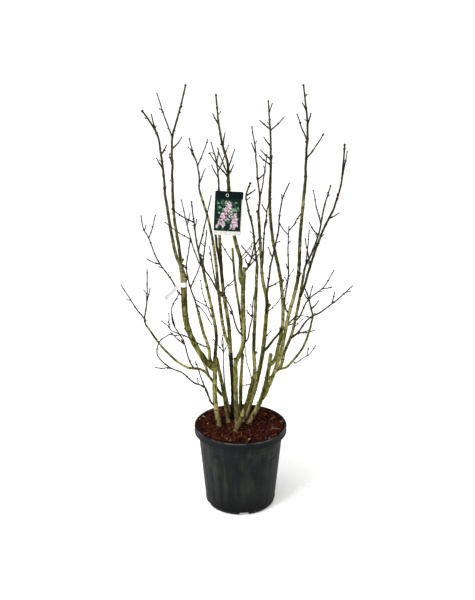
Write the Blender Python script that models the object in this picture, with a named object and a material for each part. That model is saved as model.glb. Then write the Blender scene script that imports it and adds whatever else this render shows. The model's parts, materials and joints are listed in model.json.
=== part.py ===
"""A bare lilac shrub in a black nursery pot, with its picture label and a flag label.

Metres, +Z up, origin at the centre of the pot's flat underside, -Y is the front.
Stems stand on the mulch, boughs grow from stems, and each mass of twigs grows
from one stem or bough. All limbs follow the same rules: a smooth line through a
few named places, a taper, and a small clear gap where one limb meets another.
"""
import math
import random
from collections import namedtuple

import bpy
import bmesh
from mathutils import Matrix, Vector
from mathutils.geometry import intersect_point_line

CM = 0.01
GAP = 0.0003                 # clear space between two touching pieces
SEED = 7

# ---------------------------------------------------------------- pot and mulch
POT_HEIGHT = 0.282
RIM_RADIUS = 0.153           # outside of the overhanging lip
RIM_DEPTH = 0.024            # height of the lip's ring
WALL_TOP_RADIUS = 0.1405     # outside of the wall, just under the lip
WALL_FOOT_RADIUS = 0.1175
FOOT_RADIUS = 0.1045         # flat underside
FOOT_ROUNDING = 0.020        # height of the rounded lower edge
FOOT_TURN = 0.008            # where that edge is steepest
LIP_ROUNDING = 0.002
LEDGE_DEPTH = 0.014          # from the lip down to the ledge inside it
WALL = 0.0025
POT_SIDES = 40
DRAIN_NOTCHES = 5
DRAIN_WIDTH = 0.032
DRAIN_HEIGHT = 0.016
DRAIN_DEPTH = 0.044
FIRST_DRAIN = math.radians(-84)   # the front notch, a little right of the middle

MULCH_TOP = 0.279
MULCH_FLAT_RADIUS = 0.112    # the stems stand inside this
MULCH_EDGE_DROP = 0.003
MULCH_ROOM = 0.0015          # clear space beside the pot's wall

# ------------------------------------------------------------------------ limbs
# Places are (across, back, up) in centimetres, thick is the diameter in
# centimetres at the start and the tip. share is how far along its parent a limb
# starts, where 1 is the parent's tip.
Stem = namedtuple("Stem", "foot route thick")
Bough = namedtuple("Bough", "parent share route thick")
# shoots: (share of the main twig, length in cm, lean to the right, lean to the
# back), both leans in degrees from upright
Mass = namedtuple("Mass", "parent share route thick shoots")

STEM_SIDES = 8
BOUGH_SIDES = 6
TWIG_SIDES = 5
SHOOT_SIDES = 3
FLARE = 0.06                 # extra thickness at a stem's foot
FLARE_HEIGHT = 0.018
STEP = 0.045                 # distance between rings on stems and boughs
TWIG_STEP = 0.050
SHOOT_THICK = 0.50           # cm, the most at the foot of a shoot
SHOOT_SHARE = 0.9            # of the thickness of the twig it grows from
TIP_THICK = 0.32             # cm, at the end of every shoot

STEMS = {
    "stem_left": Stem((-7.0, -1.3), ((-8.2, -1.5, 36), (-8.2, -1.5, 52)), (1.65, 1.4)),
    "stem_left_back": Stem((-4.1, 1.7), ((-5.0, 1.7, 35), (-7.8, 1.5, 51)), (1.35, 1.05)),
    "stem_dark": Stem((-2.7, 3.8), ((-2.5, 4, 36), (-3.3, 6, 51)), (1.4, 1.2)),
    "stem_centre": Stem(
        (-1.3, 1), ((-1.6, -0.3, 45), (-1.4, -0.8, 50.9), (-0.1, -1.2, 53.7), (0.9, -1.6, 57.5),
                    (0.9, -2.4, 65), (0.7, -4, 73.6), (0.9, -5.5, 82.3)), (1.45, 1.4)),
    "stem_centre_back": Stem(
        (0.1, 3.6), ((0.3, 2.4, 44.2), (0.5, 1.8, 51.9), (0.6, 1.8, 59), (-0.2, 2.2, 66.4),
                     (-1.4, 2.5, 74.1), (-1.9, 2.7, 78.4), (-2.6, 3, 87.8)), (0.95, 0.7)),
    "stem_front": Stem((-1.8, -5.3), ((1.6, -6.3, 37), (4.1, -7, 47.5)), (1.5, 1.25)),
    "stem_right_back": Stem(
        (1.2, 2.5), ((4.9, 2, 40.5), (7.1, 2, 52), (8.5, 4.3, 67)), (1.5, 1.25)),
    "stem_right": Stem((2.8, 1), ((6.5, 0.5, 36), (9.1, 0, 47.5), (9.8, 0, 53)), (1.5, 1.25)),
    "stem_thin_back": Stem((-3.4, 9), ((-4.9, 9, 35), (-5.9, 12, 54)), (0.6, 0.3)),
    "stem_short_back": Stem((-0.1, 6.7), ((0, 7, 41), (0.9, 7, 50)), (0.9, 0.75)),
}

BOUGHS = {
    "bough_left_leader": Bough(
        "stem_left", 0.87, ((-12.3, -2, 53), (-16.4, -3, 62), (-17.9, -4, 81.2)), (1.75, 1.95)),
    "bough_upper_left": Bough(
        "bough_left_leader", 1, ((-19.8, -5, 87.5), (-21.1, -6, 95), (-22.3, -8, 105.5)),
        (1.1, 0.85)),
    "bough_upper_left_inner": Bough(
        "bough_left_leader", 0.97, ((-19, -1.5, 88), (-20.6, 0, 99), (-21, 2, 106)), (1.05, 0.85)),
    "bough_low_left": Bough(
        "stem_left_back", 0.42,
        ((-9.1, 3, 42), (-12.5, 4, 45.6), (-17.6, 5, 46.2), (-25, 7, 51.5), (-30.8, 9, 59)),
        (0.9, 0.65)),
    "bough_left_strut": Bough(
        "bough_low_left", 0.24, ((-12.6, 2.5, 50), (-14.4, 2, 54)), (0.8, 0.65)),
    "bough_left_front": Bough(
        "stem_left", 0.93, ((-10.3, -3.5, 57), (-11.8, -5, 62.5), (-13.3, -6.5, 70)), (1.05, 0.9)),
    "bough_left_front_tall": Bough(
        "stem_left", 1, ((-7.7, -5, 61.5), (-8.4, -8, 68.5), (-9.6, -11, 76), (-11.3, -13, 85.5)),
        (1.1, 0.8)),
    "bough_back_left": Bough(
        "stem_dark", 1, ((-5.1, 8, 56.5), (-7.1, 13, 68.5), (-8.3, 17, 80), (-10.7, 20, 93),
                         (-13.1, 22, 100.5)), (1.1, 0.8)),
    "bough_back": Bough(
        "stem_dark", 0.9, ((-3.9, 10, 59), (-5.7, 18, 68), (-6.8, 23, 81), (-7.2, 27, 101)),
        (1.3, 0.95)),
    "bough_centre_leader": Bough(
        "stem_centre", 0.93, ((-0.1, -4.2, 86.4), (-1.4, -2.5, 90.6), (-2.7, -1.2, 96.5),
                               (-3.4, -1, 102.5), (-3.8, -1, 110.5)), (1.25, 1.05)),
    "bough_front_upper": Bough(
        "stem_front", 1, ((4.1, -8.5, 58), (4.5, -10, 72), (4.9, -12, 86.5)), (1.15, 0.95)),
    "bough_right_tall": Bough(
        "stem_right_back", 1, ((7, 6, 77), (6.4, 8, 86), (5.7, 10, 97)), (1.15, 0.9)),
    "bough_right_leader": Bough(
        "stem_right", 0.86, ((12.2, 1.3, 55), (13.5, 2.5, 62), (12.9, 6, 76), (10.3, 9, 89),
                             (9.3, 11.5, 100), (9.4, 12, 108)), (1.15, 0.95)),
    "bough_right_front": Bough(
        "stem_right", 0.4, ((9.1, -3, 43), (11, -5, 49.4), (12.7, -7, 56.5), (14.5, -9, 68),
                            (17.5, -9, 82), (17.9, -9, 95), (19, -8.5, 110.5)), (1.25, 0.95)),
    "bough_low_right": Bough(
        "stem_right", 0.66, ((12.6, 1.5, 47), (14.6, 1, 47.8), (17, -0.5, 51), (19.4, -2.5, 55.3),
                             (21.5, -6.5, 63.2), (22.1, -11, 69.6)), (0.85, 0.6)),
    "bough_right_outer": Bough(
        "bough_low_right", 0.15, ((14.2, 3, 52), (16.6, 5, 57.5), (18.4, 8, 64.3), (21, 14, 77)),
        (1.05, 0.85)),
}

MASSES = {
    "twigs_upper_left": Mass(
        "bough_upper_left", 1, ((-23.2, -9, 118), (-24.6, -10, 126.5), (-28.5, -11, 133)),
        (0.83, 0.5), ((0.74, 5.5, -12, -10), (0.35, 4, -35, 30), (0.5, 4, 30, -25))),
    "twigs_upper_left_inner": Mass(
        "bough_upper_left_inner", 1, ((-21, 4, 114), (-20.9, 5, 122), (-19.3, 6, 128), (-16.7, 8, 138)),
        (0.83, 0.53), ((0.5, 14.3, -19, 7), (0.4, 5, 40, -5), (0.25, 4, -20, 40))),
    "twigs_left_of_flag": Mass(
        "bough_left_leader", 0.81, ((-21.3, -5, 79.6), (-24.1, -6.3, 84.2), (-26.5, -8, 89.8),
                                (-27.5, -10, 94.4), (-29, -11.5, 98.3), (-29.5, -13, 102.5)),
        (0.5, 0.31), ((0.73, 8.3, 17, -14), (0.4, 5, -60, -20))),
    "twigs_low_left": Mass(
        "bough_low_left", 1, ((-30.7, 9.5, 68), (-30.5, 11, 78.5)), (0.57, 0.33),
        ((0.1, 15, -32, 2), (0.45, 5, 15, 45))),
    "twigs_low_left_inner": Mass(
        "bough_low_left", 0.4, ((-18.9, 6.5, 55), (-22.4, 7, 62), (-22.2, 7.5, 67), (-19.7, 8, 71.5)),
        (0.53, 0.31), ((0.3, 6, -50, 10), (0.55, 6, -20, 50))),
    "twigs_low_front_left": Mass(
        "stem_left", 0.34, ((-12, -4, 43.5), (-14.9, -6, 45.5), (-18.5, -8, 49.8), (-22.5, -10, 52.7),
                            (-26.1, -11, 57.3), (-25.2, -12, 62), (-21.7, -13, 65)),
        (0.61, 0.29), ((0.1, 14, -17, -10), (0.6, 5, -80, -25))),
    "twigs_left_front": Mass(
        "bough_left_front", 1, ((-15.1, -8, 77), (-16.5, -9, 83.7), (-15.1, -11, 94.5)), (0.55, 0.35),
        ((0.35, 8.2, 22, -10), (0.6, 5, -30, -30))),
    "twigs_left_front_low": Mass(
        "bough_left_front", 0.35, ((-16.8, -7.5, 62), (-21.8, -9, 65), (-22.2, -10, 70.8)),
        (0.42, 0.26), ((0.5, 5, -75, -30), (0.75, 3.5, -55, 10))),
    "twigs_left_front_tall": Mass(
        "bough_left_front_tall", 1, ((-13.3, -15, 96), (-13.9, -17, 103.5), (-14.3, -18, 108)),
        (0.66, 0.37), ((0.05, 14, 7, -22), (0.3, 19, 13, -16), (0.7, 8.5, -52, -20),
                      (0.6, 6, 10, -45))),
    "twigs_back_left": Mass(
        "bough_back_left", 1, ((-13.9, 24, 109), (-15.6, 25.5, 114), (-16.8, 26, 118.5)),
        (0.64, 0.37), ((0.5, 9.5, 22, 14), (0.62, 4.5, -30, 35), (0.2, 6, 25, 40))),
    "twigs_back_left_side": Mass(
        "bough_back", 0.38, ((-9.9, 20, 72), (-14, 22, 77.5), (-16.8, 25, 84.5), (-19.9, 28, 97.5)),
        (0.57, 0.33), ((0.1, 15.5, -8, -9), (0.62, 10.5, -55, 0), (0.3, 7, -20, 50), (0.75, 5, 15, 40))),
    "twigs_back": Mass(
        "bough_back", 1, ((-7.5, 29, 107), (-9.8, 30, 116.5)), (0.64, 0.37),
        ((0.38, 9.5, 22, 8), (0.25, 5, -30, 20), (0.5, 6, 5, 35))),
    "twigs_centre": Mass(
        "stem_centre", 1, ((1.9, -6.2, 83.8), (2.8, -6.6, 86.2), (3.6, -7, 89.5), (4.1, -7.4, 92.4)),
        (0.66, 0.35),
        ((0.12, 6.5, 40, 8), (0.3, 4, -20, -40), (0.55, 3.5, 45, 15))),
    "twigs_centre_low": Mass(
        "stem_centre", 0.56, ((2.8, -3.8, 63.3), (3.6, -5, 67.3), (3.7, -6.3, 72.6), (4.4, -8, 77.3)),
        (0.5, 0.31), ((0.5, 4, -30, -30),)),
    "twigs_centre_front": Mass(
        "stem_centre", 0.6, ((-3, -6.5, 71), (-5.1, -9, 77.5), (-2, -13, 82.5)), (0.55, 0.31),
        ((0.62, 5, -35, -30), (0.35, 5, -20, -50))),
    "twigs_centre_leader": Mass(
        "bough_centre_leader", 1, ((-4.1, -1, 116), (-5.7, 1, 121.6), (-6.8, 3, 127.5), (-7.5, 4, 135.6)),
        (0.94, 0.51), ((0.03, 10, -35, -12), (0.07, 8.5, -22, 8), (0.12, 6.5, 20, 15),
                       (0.05, 4.5, 24, -25), (0.4, 5, 10, 45), (0.65, 4, -30, 20))),
    "twigs_front": Mass(
        "bough_front_upper", 1, ((4.2, -14, 93), (3.7, -16, 98.3), (2.2, -18.5, 105.5),
                                 (1.5, -20.5, 110.5), (2.7, -22.5, 114.5)), (0.75, 0.46),
        ((0.84, 3.2, 55, -10), (0.25, 3.5, 25, -30), (0.5, 6, -5, -50), (0.05, 8, -38, -20))),
    "twigs_right_tall": Mass(
        "bough_right_tall", 1, ((6.1, 12, 101), (5.4, 13, 108), (4.6, 14, 117), (3.5, 15, 124.2)),
        (0.68, 0.4), ((0.15, 15, 9, 12), (0.4, 3.5, 50, 20), (0.7, 4, -25, 40))),
    "twigs_right_inner": Mass(
        "bough_right_tall", 0.45, ((7.3, 2, 93), (8.3, -3, 103), (8.9, -6, 108.6)), (0.57, 0.35),
        ((0.5, 6, 10, -50), (0.7, 3.5, -30, -20))),
    "twigs_right_mid": Mass(
        "stem_right_back", 0.97, ((8.9, 0, 79), (10, -5, 88.3), (11.2, -9, 96), (12.2, -12, 107),
                                  (14.1, -14, 112.5)), (0.68, 0.37),
        ((0.2, 4, 60, -5), (0.45, 6, -20, -40), (0.75, 5, 0, -45))),
    "twigs_right_leader": Mass(
        "bough_right_leader", 1, ((9.5, 13, 114), (9.2, 13, 123.3), (8.6, 14, 132.4)), (0.86, 0.44),
        ((0.18, 4.7, -52, 10), (0.25, 4.6, -46, -10), (0.42, 3.7, -39, 20), (0.62, 6.2, 46, 5),
         (0.64, 4.3, -50, 0), (0.85, 3, 20, 5), (0.1, 6, 10, 45))),
    "twigs_right_low": Mass(
        "stem_right_back", 0.66, ((11.1, -1.8, 59.4), (14.3, -3.3, 64), (17.5, -4, 67.6)), (0.94, 0.44),
        ((0.5, 5, 15, -35), (0.75, 3, 75, 10))),
    "twigs_right_front": Mass(
        "bough_right_front", 1, ((19.2, -8, 118), (19.5, -7, 127), (18.1, -6, 139.8)), (0.9, 0.48),
        ((0.45, 8.5, -22, -5), (0.27, 9, 35, 5), (0.6, 4, 20, 30), (0.75, 3, -30, -30))),
    "twigs_right_front_side": Mass(
        "bough_right_front", 0.47, ((14.4, -12, 84.5), (14, -14, 92), (14.1, -16, 100)), (0.57, 0.33),
        ((0.9, 5, -35, -10), (0.95, 6.5, 32, -10), (0.5, 5, -15, -50))),
    "twigs_low_right": Mass(
        "bough_low_right", 1, ((21.1, -12, 74.5), (19.4, -14, 80)), (0.64, 0.37),
        ((0.3, 5, 30, -35), (0.6, 4, -30, -40))),
    "twigs_low_right_side": Mass(
        "bough_low_right", 0.3, ((17.9, 1.5, 49.2), (20.2, 3, 50.1), (23.2, 5, 51.4),
                                 (24.7, 6, 53.6)),
        (0.35, 0.24), ((0.6, 3, 20, 45),)),
    "twigs_outer_right": Mass(
        "bough_right_outer", 1, ((23.5, 16, 82.3), (26.2, 18.5, 90), (27.4, 20, 97), (29.6, 22, 103.8)),
        (0.77, 0.46), ((0.55, 11.5, -14, 10), (0.42, 5.5, -35, 0), (0.03, 12.5, 6, 14), (0.7, 4, 20, 50))),
    "twigs_outer_right_upper": Mass(
        "bough_right_outer", 0.74, ((21.9, 9.5, 77.5), (25.9, 3, 93.7), (28.5, 0, 101.2),
                                    (30.2, -2, 108.3), (30.8, -5, 122.2)), (0.94, 0.53),
        ((0.8, 9, 8, -8), (0.55, 3.5, 60, 0), (0.2, 9, -12, 10), (0.65, 5, 10, -45))),
    "twigs_right_side": Mass(
        "bough_right_outer", 0.32, ((18.2, 3.6, 58.6), (21.2, 3.5, 63), (26.6, 1, 67.8),
                                   (30.7, -2, 72.5), (34.8, -5, 78)),
        (0.64, 0.33), ((0.1, 6, 75, -20), (0.4, 4, 40, -40), (0.65, 4, 15, 30))),
    "twigs_right_side_back": Mass(
        "bough_right_outer", 0.5, ((22.3, 12, 67.5), (27.6, 15, 70.8), (31.2, 18, 75.8)), (0.53, 0.31),
        ((0.65, 3.5, 80, 0), (0.4, 5, 20, 40))),
}

# The finer twigs that the seeded rule adds to each mass
FINE_SPACING = 0.130         # along each twig
FINE_LENGTHS = (0.010, 0.022)
FINE_LEAN = (35, 60)         # degrees off the twig it grows from
FINE_THICK = (0.28, 0.20)    # cm
SPACE = 0.10                 # a mass keeps within this distance of its main twig
TOUCH = 0.004                # nearer than this counts as touching another limb

# ----------------------------------------------------------------------- labels
LABEL_WIDTH = 0.086
LABEL_HEIGHT = 0.138
LABEL_THICK = 0.0008
LABEL_PLACE = (-0.038, -0.028, 1.005)     # its middle
LABEL_TILT = math.radians(3)
LABEL_LOOP_RADIUS = 0.0095                # the loop round the centre leader
LABEL_LOOP_THICK = 0.0016
LABEL_LOOP_HEIGHT = 1.074
LABEL_LOOP_DROP = 0.012                   # how much lower the loop is at the label
FLAG_WIDTH = 0.015
FLAG_LENGTH = 0.070
FLAG_THICK = 0.0008
FLAG_CLEAR = 0.0006                        # between the tape and the bark
FLAG_BEND = 0.004                          # how far its tail bows out
FLAG_SHARE = 0.91                          # along the left leader
FLAG_TURN = (-0.66, -0.60, -0.45)          # the way its tail hangs

COLOURS = {
    "pot": ((0.030, 0.034, 0.036), 0.55),
    "mulch": ((0.060, 0.024, 0.015), 0.95),
    "stem": ((0.210, 0.190, 0.090), 0.75),
    "bough": ((0.230, 0.200, 0.095), 0.75),
    "twigs": ((0.120, 0.085, 0.055), 0.80),
    "picture": ((0.300, 0.220, 0.240), 0.35),
    "flag": ((0.800, 0.800, 0.780), 0.45),
}


def clear_scene():
    for thing in list(bpy.data.objects):
        bpy.data.objects.remove(thing)


def material(kind):
    """The plain material of one kind of piece, made once."""
    if kind in bpy.data.materials:
        return bpy.data.materials[kind]
    colour, roughness = COLOURS[kind]
    made = bpy.data.materials.new(kind)
    made.use_nodes = True
    shader = made.node_tree.nodes["Principled BSDF"]
    shader.inputs["Base Color"].default_value = (*colour, 1)
    shader.inputs["Roughness"].default_value = roughness
    return made


def add_object(name, shape, kind, where=None):
    """Turn a bmesh into a named object in the scene or in a collection."""
    mesh = bpy.data.meshes.new(name)
    bmesh.ops.recalc_face_normals(shape, faces=shape.faces)
    shape.to_mesh(mesh)
    shape.free()
    mesh.materials.append(material(kind))
    made = bpy.data.objects.new(name, mesh)
    (where or bpy.context.scene.collection).objects.link(made)
    return made


def turned(profile, sides):
    """A closed solid of revolution from a profile that starts and ends on the axis."""
    shape = bmesh.new()
    rings = []
    for radius, height in profile:
        if radius == 0:
            rings.append([shape.verts.new((0, 0, height))] * sides)
            continue
        turns = (2 * math.pi * i / sides for i in range(sides))
        rings.append([shape.verts.new((radius * math.cos(t), radius * math.sin(t), height))
                      for t in turns])
    for low, high in zip(rings, rings[1:]):
        for i in range(sides):
            j = (i + 1) % sides
            corners = list(dict.fromkeys((low[i], low[j], high[j], high[i])))
            if len(corners) > 2:
                shape.faces.new(corners)
    return shape


def boolean(base, operand, operation):
    """Apply one Boolean of an object or a collection to the base."""
    cut = base.modifiers.new("boolean", "BOOLEAN")
    cut.operation = operation
    cut.solver = "EXACT"
    if isinstance(operand, bpy.types.Collection):
        cut.operand_type = "COLLECTION"
        cut.collection = operand
    else:
        cut.object = operand
    seen = base.evaluated_get(bpy.context.evaluated_depsgraph_get())
    result = bpy.data.meshes.new_from_object(seen)
    base.modifiers.clear()
    base.data = result


def remove_collection(group):
    for thing in list(group.objects):
        bpy.data.objects.remove(thing)
    bpy.data.collections.remove(group)


# ---------------------------------------------------------------- pot and mulch
def pot_inside():
    """The inner profile of the pot, from the floor's middle to the lip."""
    return [(0, WALL), (FOOT_RADIUS - WALL, WALL), (WALL_FOOT_RADIUS - WALL, FOOT_ROUNDING),
            (WALL_TOP_RADIUS - WALL, POT_HEIGHT - RIM_DEPTH),
            (RIM_RADIUS - 3 * WALL, POT_HEIGHT - LEDGE_DEPTH),
            (RIM_RADIUS - 2 * WALL, POT_HEIGHT)]


def make_pot():
    ring_foot = POT_HEIGHT - RIM_DEPTH
    outside = [(0, 0), (FOOT_RADIUS, 0), (FOOT_RADIUS + FOOT_TURN, FOOT_TURN),
               (WALL_FOOT_RADIUS, FOOT_ROUNDING), (WALL_TOP_RADIUS, ring_foot),
               (RIM_RADIUS - LIP_ROUNDING, ring_foot), (RIM_RADIUS, ring_foot + LIP_ROUNDING),
               (RIM_RADIUS, POT_HEIGHT - LIP_ROUNDING), (RIM_RADIUS - LIP_ROUNDING, POT_HEIGHT)]
    shape = turned(outside + pot_inside()[::-1], POT_SIDES)
    pot = add_object("pot", shape, "pot")
    for number in range(DRAIN_NOTCHES):
        turn = FIRST_DRAIN + 2 * math.pi * number / DRAIN_NOTCHES
        cut_drain_notch(pot, turn)
    pot.data.shade_smooth()
    pot.data.set_sharp_from_angle(angle=math.radians(30))
    return pot


def cut_drain_notch(pot, turn):
    """A drain hole low in the wall, open through the wall and the floor's edge."""
    cutter = bmesh.new()
    bmesh.ops.create_cube(cutter, size=1)
    size = Matrix.Diagonal((DRAIN_DEPTH, DRAIN_WIDTH, 2 * DRAIN_HEIGHT, 1))
    middle = Matrix.Translation((WALL_FOOT_RADIUS, 0, 0))
    bmesh.ops.transform(cutter, matrix=Matrix.Rotation(turn, 4, "Z") @ middle @ size,
                        verts=cutter.verts)
    tool = add_object("drain_cutter", cutter, "pot")
    boolean(pot, tool, "DIFFERENCE")
    bpy.data.objects.remove(tool)


def make_mulch():
    """The filling of the pot, with its nearly flat top of bark."""
    below = WALL_FOOT_RADIUS - DRAIN_DEPTH / 2 - MULCH_ROOM
    wall_top = POT_HEIGHT - RIM_DEPTH
    edge = RIM_RADIUS - 3 * WALL - MULCH_ROOM
    ledge = POT_HEIGHT - LEDGE_DEPTH + MULCH_ROOM
    profile = [(0, WALL + GAP), (below - MULCH_ROOM, WALL + GAP),
               (below - MULCH_ROOM, DRAIN_HEIGHT + MULCH_ROOM),
               (WALL_FOOT_RADIUS - WALL - MULCH_ROOM, FOOT_ROUNDING + MULCH_ROOM),
               (WALL_TOP_RADIUS - WALL - MULCH_ROOM, wall_top), (edge, ledge),
               (edge, MULCH_TOP - MULCH_EDGE_DROP), (MULCH_FLAT_RADIUS, MULCH_TOP), (0, MULCH_TOP)]
    return add_object("mulch", turned(profile, POT_SIDES), "mulch")


# ------------------------------------------------------------------------ lines
ELBOW_OUT = 1.25             # where a side limb turns up, in its own radii
ELBOW_ON = 1.2
SHOOT_WIDER = (1.1, 1.1)     # a shoot's leans at its foot and at its tip, as
SHOOT_STEEPER = (0.92, 0.92) # shares of the named leans to the right and the back
SHOOT_BEND = 0.45            # share of the shoot's length before it turns up
LEAF_TURN = 137.5            # degrees between one fine twig and the next
UPWARD = 0.25                # how much a fine twig turns up


def smooth_line(knots, step):
    """Points about a step apart along a smooth curve through the knots."""
    spans = [max((b - a).length, 1e-6) for a, b in zip(knots, knots[1:])]
    slopes = [(knots[1] - knots[0]) / spans[0]]
    for i in range(1, len(knots) - 1):
        before = (knots[i] - knots[i - 1]) / spans[i - 1]
        after = (knots[i + 1] - knots[i]) / spans[i]
        slopes.append((before * spans[i] + after * spans[i - 1]) / (spans[i - 1] + spans[i]))
    slopes.append((knots[-1] - knots[-2]) / spans[-1])
    points = [knots[0]]
    for i, span in enumerate(spans):
        count = max(1, round(span / step))
        for k in range(1, count + 1):
            t = k / count
            points.append(knots[i] * (2 * t**3 - 3 * t**2 + 1) + slopes[i] * span * (t**3 - 2 * t**2 + t)
                          + knots[i + 1] * (3 * t**2 - 2 * t**3) + slopes[i + 1] * span * (t**3 - t**2))
    return points


class Line:
    """A limb's centre line with a radius at each point."""

    def __init__(self, points, thick, first_way=None, flare=0.0):
        self.points = points
        self.first_way = first_way
        lengths = [0.0]
        for a, b in zip(points, points[1:]):
            lengths.append(lengths[-1] + (b - a).length)
        self.length = lengths[-1]
        self.shares = [run / self.length for run in lengths]
        start, end = (t * CM / 2 for t in thick)
        self.radii = [(start + (end - start) * s) * (1 + flare * math.exp(-run / FLARE_HEIGHT))
                      for s, run in zip(self.shares, lengths)]

    def at(self, share):
        """Place, direction and radius at a share of the length."""
        for i in range(len(self.points) - 1):
            if share <= self.shares[i + 1] or i == len(self.points) - 2:
                low, high = self.shares[i], self.shares[i + 1]
                t = (share - low) / (high - low)
                place = self.points[i].lerp(self.points[i + 1], t)
                way = (self.points[i + 1] - self.points[i]).normalized()
                return place, way, self.radii[i] + (self.radii[i + 1] - self.radii[i]) * t

    def at_height(self, height):
        """The first place on the line at a height."""
        for low, high in zip(self.points, self.points[1:]):
            if low.z <= height < high.z:
                return low.lerp(high, (height - low.z) / (high.z - low.z))

    def distance(self, place):
        """How far a place is from the limb's surface."""
        best = 1e9
        for i in range(len(self.points) - 1):
            _, t = intersect_point_line(place, self.points[i], self.points[i + 1])
            near = self.points[i].lerp(self.points[i + 1], min(max(t, 0), 1))
            best = min(best, (place - near).length - self.radii[i])
        return best


def places(route):
    return [Vector(place) * CM for place in route]


def stem_line(stem):
    """From the flat cut on the mulch, upright at first."""
    foot = Vector((stem.foot[0] * CM, stem.foot[1] * CM, MULCH_TOP + GAP))
    return Line(smooth_line([foot, *places(stem.route)], STEP), stem.thick,
                Vector((0, 0, 1)), FLARE)


def child_line(parent, share, route, thick, step):
    """A limb that starts 0.3 mm clear of its parent's tip or side."""
    route = places(route)
    place, way, parent_radius = parent.at(share)
    radius = thick[0] * CM / 2
    if share == 1:
        start = place + way * GAP
        elbow = start + way * radius
        first_way = way
    else:
        aim = route[0] - place
        first_way = (aim - way * aim.dot(way)).normalized()
        start = place + first_way * (parent_radius + 2 * GAP)
        elbow = start + first_way * (radius * ELBOW_OUT) + way * (radius * ELBOW_ON)
    return Line(smooth_line([start, elbow, *route], step), thick, first_way)


def shoot_line(parent, share, length, lean, back, thick, step):
    """A side shoot: it leaves wider than its lean and turns up towards its tip."""
    place, _, _ = parent.at(share)
    wide = aim_way(lean * SHOOT_WIDER[0], back * SHOOT_WIDER[1])
    steep = aim_way(lean * SHOOT_STEEPER[0], back * SHOOT_STEEPER[1])
    middle = place + wide * (length * CM * SHOOT_BEND)
    tip = middle + steep * (length * CM * (1 - SHOOT_BEND))
    return Line(smooth_line([place, middle, tip], step), thick)


def aim_way(lean, back):
    """The direction at two leans, to the right and to the back, in degrees."""
    right = math.radians(lean)
    rear = math.radians(back)
    return Vector((math.sin(right) * math.cos(rear), math.sin(rear),
                   math.cos(right) * math.cos(rear))).normalized()


# ----------------------------------------------------------------------- meshes
def tube(line, sides):
    """A closed tapering tube of flat-ended rings along a line."""
    shape = bmesh.new()
    count = len(line.points)
    turn = Vector((0.31, 0.77, 0.15))
    rings = []
    for i, (place, radius) in enumerate(zip(line.points, line.radii)):
        way = line.points[min(i + 1, count - 1)] - line.points[max(i - 1, 0)]
        if i == 0 and line.first_way is not None:
            way = line.first_way
        way = way.normalized()
        turn = (turn - way * turn.dot(way)).normalized()
        side = way.cross(turn)
        rings.append([shape.verts.new(place + (turn * math.cos(a) + side * math.sin(a)) * radius)
                      for a in (2 * math.pi * k / sides for k in range(sides))])
    for low, high in zip(rings, rings[1:]):
        for k in range(sides):
            shape.faces.new((low[k], low[(k + 1) % sides], high[(k + 1) % sides], high[k]))
    shape.faces.new(rings[0])
    shape.faces.new(rings[-1])
    return shape


def add_limb(name, line, sides, kind):
    made = add_object(name, tube(line, sides), kind)
    made.data.shade_smooth()
    made.data.set_sharp_from_angle(angle=math.radians(60))
    return made


# ----------------------------------------------------------------------- masses
def keeps_clear(line, name, main, others):
    """True if a new twig stays in its mass's space and touches no other limb."""
    for place in line.points[1:]:
        if main.distance(place) > SPACE:
            return False
        for other, lines in others.items():
            if other != name and any(own.distance(place) < TOUCH for own in lines):
                return False
    return True


def fine_lines(line, rule):
    """The seeded rule's small side twigs along one twig, by turns left and right."""
    found = []
    count = int(line.length / FINE_SPACING)
    for number in range(1, count + 1):
        share = min((number - 0.35 + 0.3 * rule.random()) / (count + 0.2), 0.97)
        place, way, _ = line.at(share)
        turn = math.radians(LEAF_TURN * number + 60 * rule.random())
        across = way.orthogonal().normalized()
        across.rotate(Matrix.Rotation(turn, 3, way))
        lean = math.radians(rule.uniform(*FINE_LEAN))
        aim = way * math.cos(lean) + across * math.sin(lean)
        aim = (aim + Vector((0, 0, UPWARD))).normalized()
        length = rule.uniform(*FINE_LENGTHS)
        found.append(Line([place, place + aim * length], FINE_THICK))
    return found


def make_mass(name, mass, main, others):
    """One mass: its main twig, its named shoots and the rule's finer twigs."""
    rule = random.Random(f"{SEED} {name}")
    grown = []
    for share, length, lean, back in mass.shoots:
        _, _, radius = main.at(share)
        thick = (min(SHOOT_THICK, radius * 2 / CM * SHOOT_SHARE), TIP_THICK)
        grown.append(shoot_line(main, share, length, lean, back, thick, TWIG_STEP))
    for line in [main, *grown]:
        grown = grown + fine_lines(line, rule)
    kept = []
    for line in grown:
        if keeps_clear(line, name, main, others):
            kept.append(line)
    others[name].extend(kept)
    made = add_limb(name, main, TWIG_SIDES, "twigs")
    group = bpy.data.collections.new(name + "_shoots")
    bpy.context.scene.collection.children.link(group)
    for number, line in enumerate(kept):
        add_object(f"{name}_shoot_{number}", tube(line, SHOOT_SIDES), "twigs", group)
    boolean(made, group, "UNION")
    remove_collection(group)
    return made


def make_shrub():
    lines = {}
    for name, stem in STEMS.items():
        lines[name] = stem_line(stem)
        add_limb(name, lines[name], STEM_SIDES, "stem")
    for name, bough in BOUGHS.items():
        lines[name] = child_line(lines[bough.parent], bough.share, bough.route, bough.thick, STEP)
        add_limb(name, lines[name], BOUGH_SIDES, "bough")
    for name, mass in MASSES.items():
        lines[name] = child_line(lines[mass.parent], mass.share, mass.route, mass.thick, TWIG_STEP)
    others = {name: [line] for name, line in lines.items()}
    for name, mass in MASSES.items():
        make_mass(name, mass, lines[name], others)
    return lines


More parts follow.
